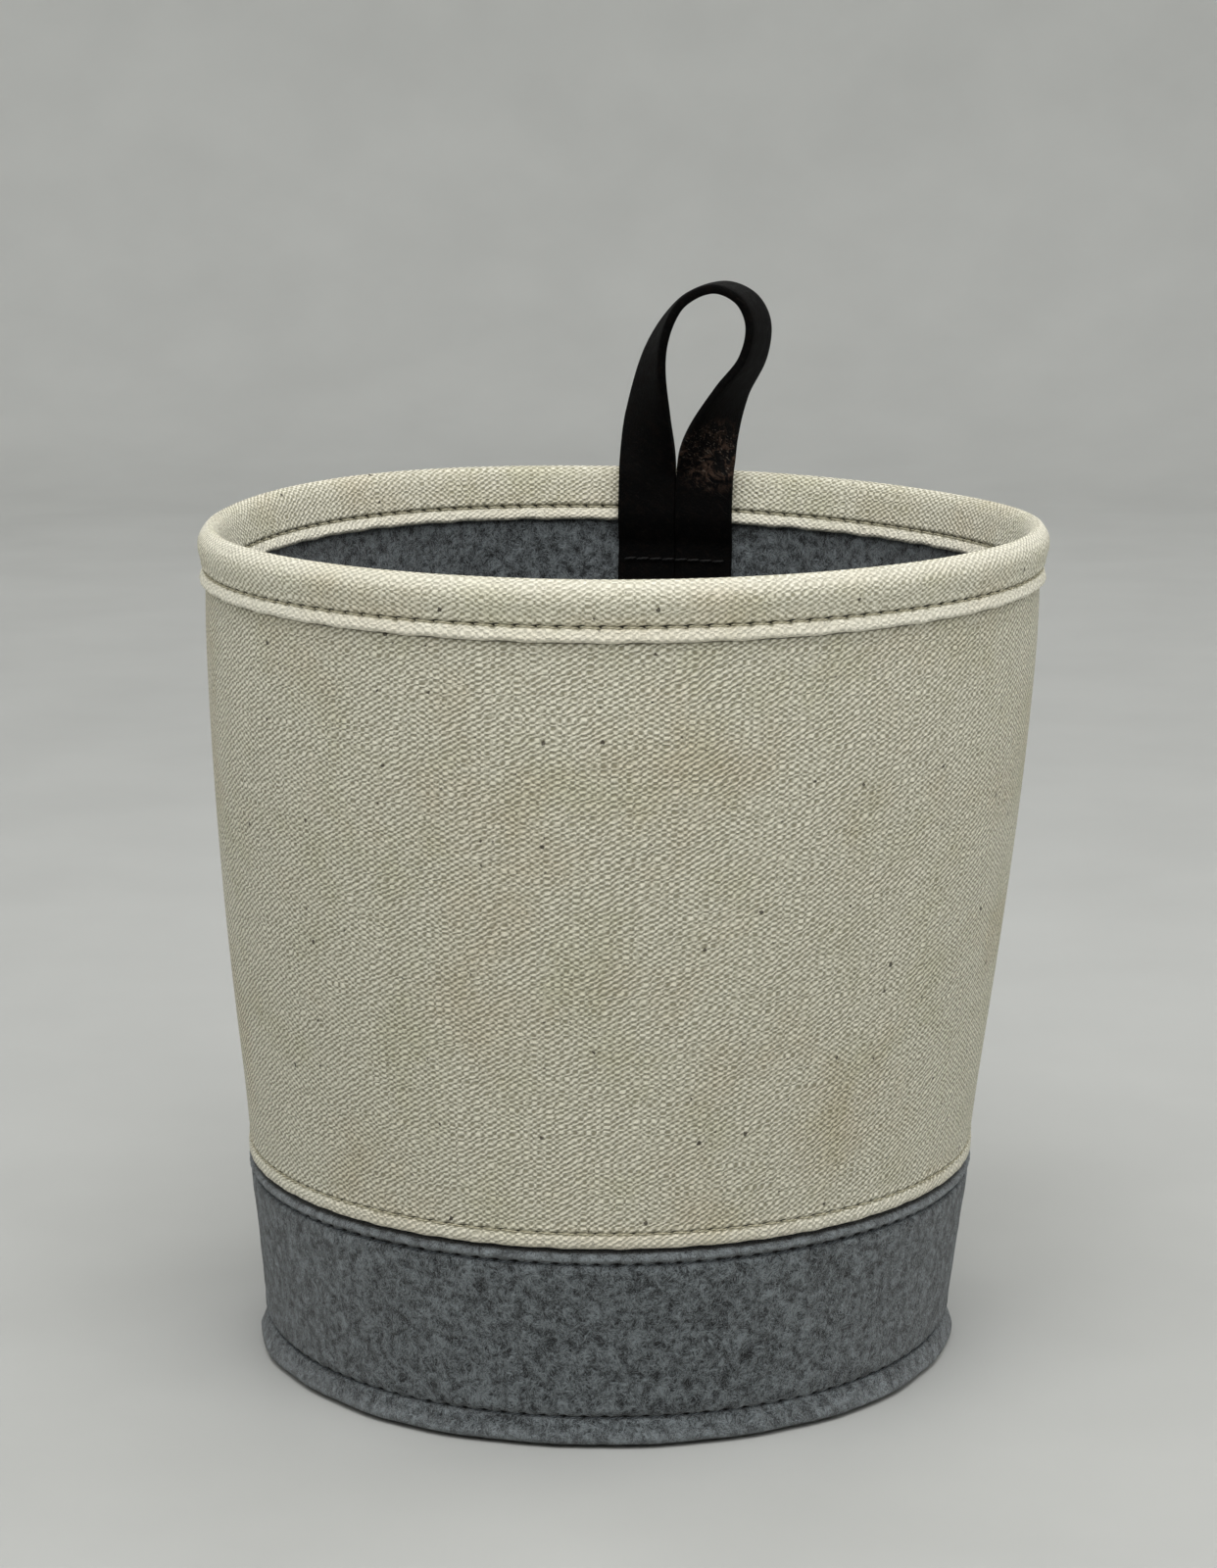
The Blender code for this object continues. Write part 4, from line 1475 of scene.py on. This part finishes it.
    def build(self) -> None:
        """Make the lining, band, base and their threads."""
        self.lining()
        band = ClothPiece(
            "felt_foot_band", FELT, self.band_section(), ("felt_base_band",), segments=960,
            shaper=self.pinch, lumps=self.lumps, lump_size=0.004,
        ).make()
        self.base()
        for seam, outer, inner, surface, inside, low in (
            (
                self.band_seam, "band_thread_outer", "band_thread_inner",
                PATTERN.hem_radius - 0.60 * MM, float(PATTERN.lining(PATTERN.band_stitch)),
                PATTERN.band_stitch,
            ),
            (
                self.base_seam, "base_thread_outer", "base_thread_inner",
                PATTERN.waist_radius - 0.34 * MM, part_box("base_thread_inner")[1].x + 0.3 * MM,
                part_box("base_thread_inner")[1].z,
            ),
        ):
            ring_row(
                outer, GREY_THREAD, seam, surface, seam.z - 0.12 * MM, Side.OUTSIDE,
                thickness=0.00038, sink=0.00040, lift=0.00060, slant=0.00006,
            )
            ring_row(inner, GREY_THREAD, seam, inside, low, Side.INSIDE)
        self.back_joins()

    def lining(self) -> None:
        """Felt wall inside the canvas, from the base to inside the binding."""
        heights = np.concatenate(
            [
                np.linspace(PATTERN.base_top + 0.3 * MM, PATTERN.hem_edge + 0.012, 26),
                np.linspace(PATTERN.hem_edge + 0.014, PATTERN.wall_top, 62),
            ]
        )
        squeeze = 1.4 * MM * smooth_step(PATTERN.lip_edge + 1.0 * MM, PATTERN.lip_edge + 2.0 * MM, heights)
        inner = [(float(PATTERN.lining(z) + s), z) for z, s in zip(heights, squeeze)]
        section = inner + [(r + PATTERN.felt, z) for r, z in inner[::-6]]
        made = ClothPiece(
            "felt_lining", FELT, section, ("felt_liner",), segments=420,
            lumps=0.00009, lump_size=0.005,
        ).make()

    def base(self) -> None:
        """Round felt base whose edge is turned down inside the flange."""
        skirt = PATTERN.waist_radius - PATTERN.felt - 0.2 * MM
        spread = PATTERN.foot_radius - PATTERN.felt - 0.2 * MM
        top, felt = PATTERN.base_top, PATTERN.felt
        over = spline(
            [(spread, 0.0), (skirt + 0.4 * MM, 3 * MM), (skirt, PATTERN.flange),
             (skirt - 0.6 * MM, top - 0.6 * MM), (skirt - 2.2 * MM, top)], 0.8 * MM,
        )
        section = [tuple(p) for p in over]
        section += [(r, top) for r in np.linspace(skirt - 4 * MM, 2 * MM, 24)]
        section += [(2 * MM, top - felt), (skirt - felt - 2 * MM, top - felt)]
        section += [(skirt - felt, PATTERN.flange - 1.5 * MM), (spread - felt, 0.0)]
        solid_base = ClothPiece(
            "felt_base", FELT, section, ("felt_base_disc",), segments=300,
            lumps=0.00008, lump_size=0.005,
        )
        mesh = solid_base.turn()
        self.close_middle(mesh)
        solid_base.lay_grain(mesh)
        solid_base.work(mesh)
        made = publish(mesh, solid_base.name, FELT, solid_base.replaces)

    @staticmethod
    def close_middle(mesh: bpy.types.Mesh) -> None:
        """Fill the small hole that the turned base has at its middle.

        Args:
            mesh: the turned base.
        """
        solid = bmesh.new()
        solid.from_mesh(mesh)
        tube = [f for f in solid.faces if all(math.hypot(v.co.x, v.co.y) < 2.5 * MM for v in f.verts)]
        bmesh.ops.delete(solid, geom=tube, context="FACES_ONLY")
        rims = [e for e in solid.edges if e.is_boundary]
        bmesh.ops.holes_fill(solid, edges=rims, sides=0)
        bmesh.ops.recalc_face_normals(solid, faces=solid.faces)
        solid.to_mesh(mesh)
        solid.free()

    def back_joins(self) -> None:
        """Zigzag stitches that join the lining's and the band's ends at the back."""
        for name, radius, side in (
            ("liner_seam_thread", PATTERN.lining, Side.INSIDE),
            ("band_seam_thread", lambda z: PATTERN.band(z) + 0.25 * MM, Side.OUTSIDE),
        ):
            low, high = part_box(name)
            heights = np.arange(low.z, high.z, self.zigzag_step)
            swing = [(1 if i % 2 else -1) * self.zigzag_reach for i in range(len(heights))]
            line_row(name, GREY_THREAD, heights, radius, swing, side, slant=0.0)


@dataclass
class HangingLoop:
    """Leather strap folded into an open loop, its tails sewn side by side inside the back."""

    width: float = 0.0137
    thickness: float = 0.0022
    tail_drop: float = 0.0324
    rise: float = 0.0414
    lean: float = 0.0096
    haste: tuple[float, float] = (1.9, 3.1)
    length: float = 0.15
    stations: int = 220
    stitched_half: float = 0.0122
    needle_holes: int = 9

    def path(self) -> tuple[np.ndarray, np.ndarray, int]:
        """Middle line of the strap, from the left tail over the loop to the right tail.

        Returns:
            Points, unit directions, and which point is the top of the loop.
        """
        hinge = self.hinge()
        leg = self.width / 2 + 0.02 * MM
        low = PATTERN.height - self.tail_drop
        left_leg = [(0.0, 0.0), (-0.0002, 0.25), (0.0013, 0.62), (0.0050, 0.83), (0.0086, 0.93)]
        right_leg = [
            (0.0089, 0.94), (0.0119, 0.81), (0.0110, 0.61), (0.0060, 0.40), (0.0016, 0.14), (0.0004, 0.0),
        ]
        tail = [low, low + 6 * MM, PATTERN.lip_edge - 5 * MM, PATTERN.lip_edge - 2.5 * MM]
        tail += [PATTERN.lip_edge + 1.0 * MM, PATTERN.height - 6 * MM]
        knots = [(-leg, self.tail_reach(z), z) for z in tail]
        knots += [(x - leg, hinge.y, hinge.z + self.rise * s) for x, s in left_leg]
        knots += [(self.lean, hinge.y, hinge.z + self.rise)]
        knots += [(x + leg, hinge.y, hinge.z + self.rise * s) for x, s in right_leg]
        knots += [(leg, self.tail_reach(z), z) for z in tail[::-1]]
        points = spline(knots, self.length / self.stations)
        along = np.gradient(points, axis=0)
        along /= np.linalg.norm(along, axis=1, keepdims=True)
        return points, along, int(points[:, 2].argmax())

    @staticmethod
    def hinge() -> Vector:
        """Where the strap bends, just above the rim."""
        joint = next(j for j in frame["joints"] if j["name"] == "loop_flex")
        return Vector(joint["pos_m"])

    def tail_reach(self, z: float) -> float:
        """Radius of a tail's middle line: on the lining below, and over the binding above.

        Args:
            z: height on the tail.

        Returns:
            The radius.
        """
        hinge = self.hinge()
        on_lining = float(PATTERN.lining(z)) - self.thickness / 2 - 0.25 * MM
        climb = float(smooth_step(PATTERN.lip_edge - 4.5 * MM, PATTERN.lip_edge - 0.5 * MM, z))
        return on_lining + (hinge.y - on_lining) * climb

    def section(self) -> np.ndarray:
        """Rounded oblong across the strap, as (across, through) offsets.

        Returns:
            Points of the closed section.
        """
        half, thick, corner = self.width / 2, self.thickness / 2, 0.55 * MM
        outline = []
        for turn, (sx, sy) in enumerate(((1, 1), (-1, 1), (-1, -1), (1, -1))):
            for bend in (15, 45, 75):
                a = math.radians(turn * 90 + bend)
                x = sx * (half - corner) + corner * math.cos(a)
                y = sy * (thick - corner) + corner * math.sin(a)
                outline.append((x, y))
        across = np.linspace(half - corner, corner - half, 7)[1:-1]
        crown = 0.10 * MM
        top = [(x, thick + crown * (1 - (x / half) ** 2)) for x in across]
        bottom = [(x, -thick) for x in across[::-1]]
        return np.array(outline[:3] + top + outline[3:9] + bottom + outline[9:])

    def build(self) -> None:
        """Sweep the strap, dress it, bend it at the rim and sew its tails."""
        points, along, top = self.path()
        walked = np.concatenate([[0], np.cumsum(np.linalg.norm(np.diff(points, axis=0), axis=1))])
        start_z = PATTERN.height - 1.0 * MM
        rising = points[:, 2] >= start_z
        first, last = np.flatnonzero(rising)[[0, -1]]
        solid = bmesh.new()
        ring: list[bmesh.types.BMEdge] = []
        outline = self.section()
        for i, (point, direction) in enumerate(zip(points, along)):
            if i <= first or i >= last:
                twist = 0.0
            elif i <= top:
                share = (walked[i] - walked[first]) / (walked[top] - walked[first])
                twist = BACK * (1 - (1 - share) ** self.haste[0])
            else:
                share = (walked[last] - walked[i]) / (walked[last] - walked[top])
                twist = BACK * (1 - (1 - share) ** self.haste[1])
            places = self.placed(point, direction, twist, outline)
            if not ring:
                corners = [solid.verts.new(p) for p in places]
                ring = [solid.edges.new(pair) for pair in zip(corners, corners[1:] + corners[:1])]
                solid.faces.new(corners)
            else:
                grown = bmesh.ops.extrude_edge_only(solid, edges=ring)["geom"]
                ring = [item for item in grown if isinstance(item, bmesh.types.BMEdge)]
                corners = self.in_order([v for v in grown if isinstance(v, bmesh.types.BMVert)], corners)
                for corner, place in zip(corners, places):
                    corner.co = place
                ring = [e for e in ring if all(v in set(corners) for v in e.verts)]
        solid.faces.new(corners)
        bmesh.ops.recalc_face_normals(solid, faces=solid.faces)
        mesh = bpy.data.meshes.new("leather_strap")
        solid.to_mesh(mesh)
        solid.free()
        co = STANCE.settle(positions(mesh))
        mesh.vertices.foreach_set("co", co.astype(np.float32).ravel())
        strap = publish(
            mesh, "leather_strap", LEATHER, ("strap_end_left", "strap_end_right", "strap_loop"), None
        )
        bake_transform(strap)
        self.sew()

    @staticmethod
    def in_order(
        made: Sequence[bmesh.types.BMVert], before: Sequence[bmesh.types.BMVert]
    ) -> list[bmesh.types.BMVert]:
        """New corners in the order of the corners that they grew from.

        Args:
            made: corners that the extrusion made.
            before: the corners that were extruded, in order.

        Returns:
            The new corners, in that order.
        """
        grown = set(made)
        return [
            next(e.other_vert(v) for e in v.link_edges if e.other_vert(v) in grown) for v in before
        ]

    def placed(
        self, point: np.ndarray, direction: np.ndarray, twist: float, outline: np.ndarray
    ) -> list[Vector]:
        """Put the section at a point of the strap, turned about its direction.

        Args:
            point: middle of the section.
            direction: unit direction of the strap there.
            twist: turn from facing the bucket's axis, in radians.
            outline: the section's (across, through) offsets.

        Returns:
            Corner positions.
        """
        tangent = Vector(direction)
        inward = Vector((-point[0] * 0.8, -point[1], 0)).normalized()
        outward = inward.cross(tangent).normalized()
        inward = tangent.cross(outward).normalized()
        across = inward * math.sin(twist) - outward * math.cos(twist)
        through = inward * math.cos(twist) + outward * math.sin(twist)
        return [Vector(point) + across * x + through * y for x, y in outline]

    def sew(self) -> None:
        """Two rows of black stitches across both tails."""
        for name in ("strap_thread_lower", "strap_thread_upper"):
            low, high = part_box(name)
            z = (low.z + high.z) / 2
            reach = float(self.tail_reach(z)) - self.thickness / 2 - 0.12 * MM
            across = np.linspace(self.stitched_half, -self.stitched_half, self.needle_holes)
            line_row(
                name, BLACK_THREAD, [z] * len(across), lambda _: reach, across, Side.INSIDE,
                thickness=0.0006, lift=0.00035,
            )


@dataclass
class Studio:
    """Camera, pale floor that sweeps up all round, and soft light."""

    azimuth: float = math.radians(9.1)
    pitch: float = 0.203
    roll: float = math.radians(-0.13)
    distance: float = 0.8428
    eye_height: float = 0.2990
    side_shift: float = 0.00083
    lens: float = 89.3
    floor_reach: float = 1.45
    floor_bend: float = 0.45
    wall_height: float = 3.2

    def build(self) -> None:
        """Make the camera, the floor and the lights."""
        self.camera()
        self.floor()
        self.lights()

    def camera(self) -> None:
        """Look down at the bucket from a little to the right of its front."""
        right = Vector((math.cos(self.azimuth), math.sin(self.azimuth), 0))
        ahead = Vector((-math.sin(self.azimuth), math.cos(self.azimuth), 0))
        data = bpy.data.cameras.new("camera")
        data.lens = self.lens
        data.clip_start = 0.05
        eye = bpy.data.objects.new("camera", data)
        eye.location = ahead * -self.distance + right * self.side_shift + Vector((0, 0, self.eye_height))
        turn = Matrix.Rotation(self.azimuth, 4, "Z") @ Matrix.Rotation(BACK - self.pitch, 4, "X")
        eye.rotation_euler = (turn @ Matrix.Rotation(self.roll, 4, "Z")).to_euler()
        bpy.context.scene.collection.objects.link(eye)
        bpy.context.scene.camera = eye

    def floor(self) -> None:
        """A round floor that sweeps up into a wall on every side."""
        outline = [(0.0, 0.0), (self.floor_reach, 0.0)]
        for step in range(1, 13):
            a = BACK * step / 12
            outline.append(
                (self.floor_reach + self.floor_bend * math.sin(a), self.floor_bend * (1 - math.cos(a)))
            )
        outline.append((self.floor_reach + self.floor_bend, self.wall_height))
        bowl = bmesh.new()
        side = [bowl.verts.new((radius, 0, z)) for radius, z in outline]
        edges = [bowl.edges.new(pair) for pair in zip(side, side[1:])]
        bmesh.ops.spin(
            bowl, geom=side + edges, cent=(0, 0, 0), axis=(0, 0, 1), angle=math.tau, steps=96,
            use_merge=True,
        )
        bmesh.ops.remove_doubles(bowl, verts=bowl.verts, dist=WELD)
        bmesh.ops.recalc_face_normals(bowl, faces=bowl.faces)
        bmesh.ops.reverse_faces(bowl, faces=[face for face in bowl.faces if face.normal.z < 0])
        mesh = bpy.data.meshes.new("floor")
        bowl.to_mesh(mesh)
        bowl.free()
        mesh.shade_smooth()
        mesh.materials.append(PaintedBoard().material())
        made = bpy.data.objects.new("floor", mesh)
        bpy.context.scene.collection.objects.link(made)

    def lights(self) -> None:
        """Soft boxes overhead and all round, strongest in front, and an even room."""
        for name, place, size, power in (
            ("overhead_softbox", (0.0, -0.10, 1.35), 1.1, 4.3),
            ("front_softbox", (0.10, -0.65, 1.15), 1.0, 10.2),
            ("right_softbox", (1.15, -0.75, 0.85), 0.9, 3.6),
            ("left_softbox", (-1.15, -0.75, 0.85), 0.9, 3.3),
            ("right_rear_softbox", (1.0, 0.55, 1.0), 0.8, 4.1),
            ("left_rear_softbox", (-1.0, 0.55, 1.0), 0.8, 2.7),
            ("rear_softbox", (0.0, 1.05, 1.1), 0.9, 3.5),
        ):
            data = bpy.data.lights.new(name, "AREA")
            data.energy = power
            data.size = size
            lamp = bpy.data.objects.new(name, data)
            lamp.location = place
            aim = Vector((0, 0, 0.1)) - Vector(place)
            lamp.rotation_euler = aim.to_track_quat("-Z", "Y").to_euler()
            bpy.context.scene.collection.objects.link(lamp)
        world = bpy.data.worlds.new("room")
        world.use_nodes = True
        sky = world.node_tree.nodes["Background"]
        sky.inputs[0].default_value = linear("#eef1f3")
        sky.inputs[1].default_value = 0.03
        bpy.context.scene.world = world
        bpy.context.scene.view_settings.view_transform = "Standard"


def corners(bounds: tuple[Vector, Vector]) -> list[list[float]]:
    """The two corners of a box as plain lists."""
    return [list(corner) for corner in bounds]


def main() -> None:
    """Build every sub-assembly around the frame."""
    logging.basicConfig(level=logging.INFO, format="%(name)s: %(message)s")
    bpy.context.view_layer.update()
    for assembly in (RimBinding(), CanvasWall(), FeltBody(), HangingLoop(), Studio()):
        assembly.build()
        log.info("%s is done", type(assembly).__name__)


if __name__ == "__main__":
    main()
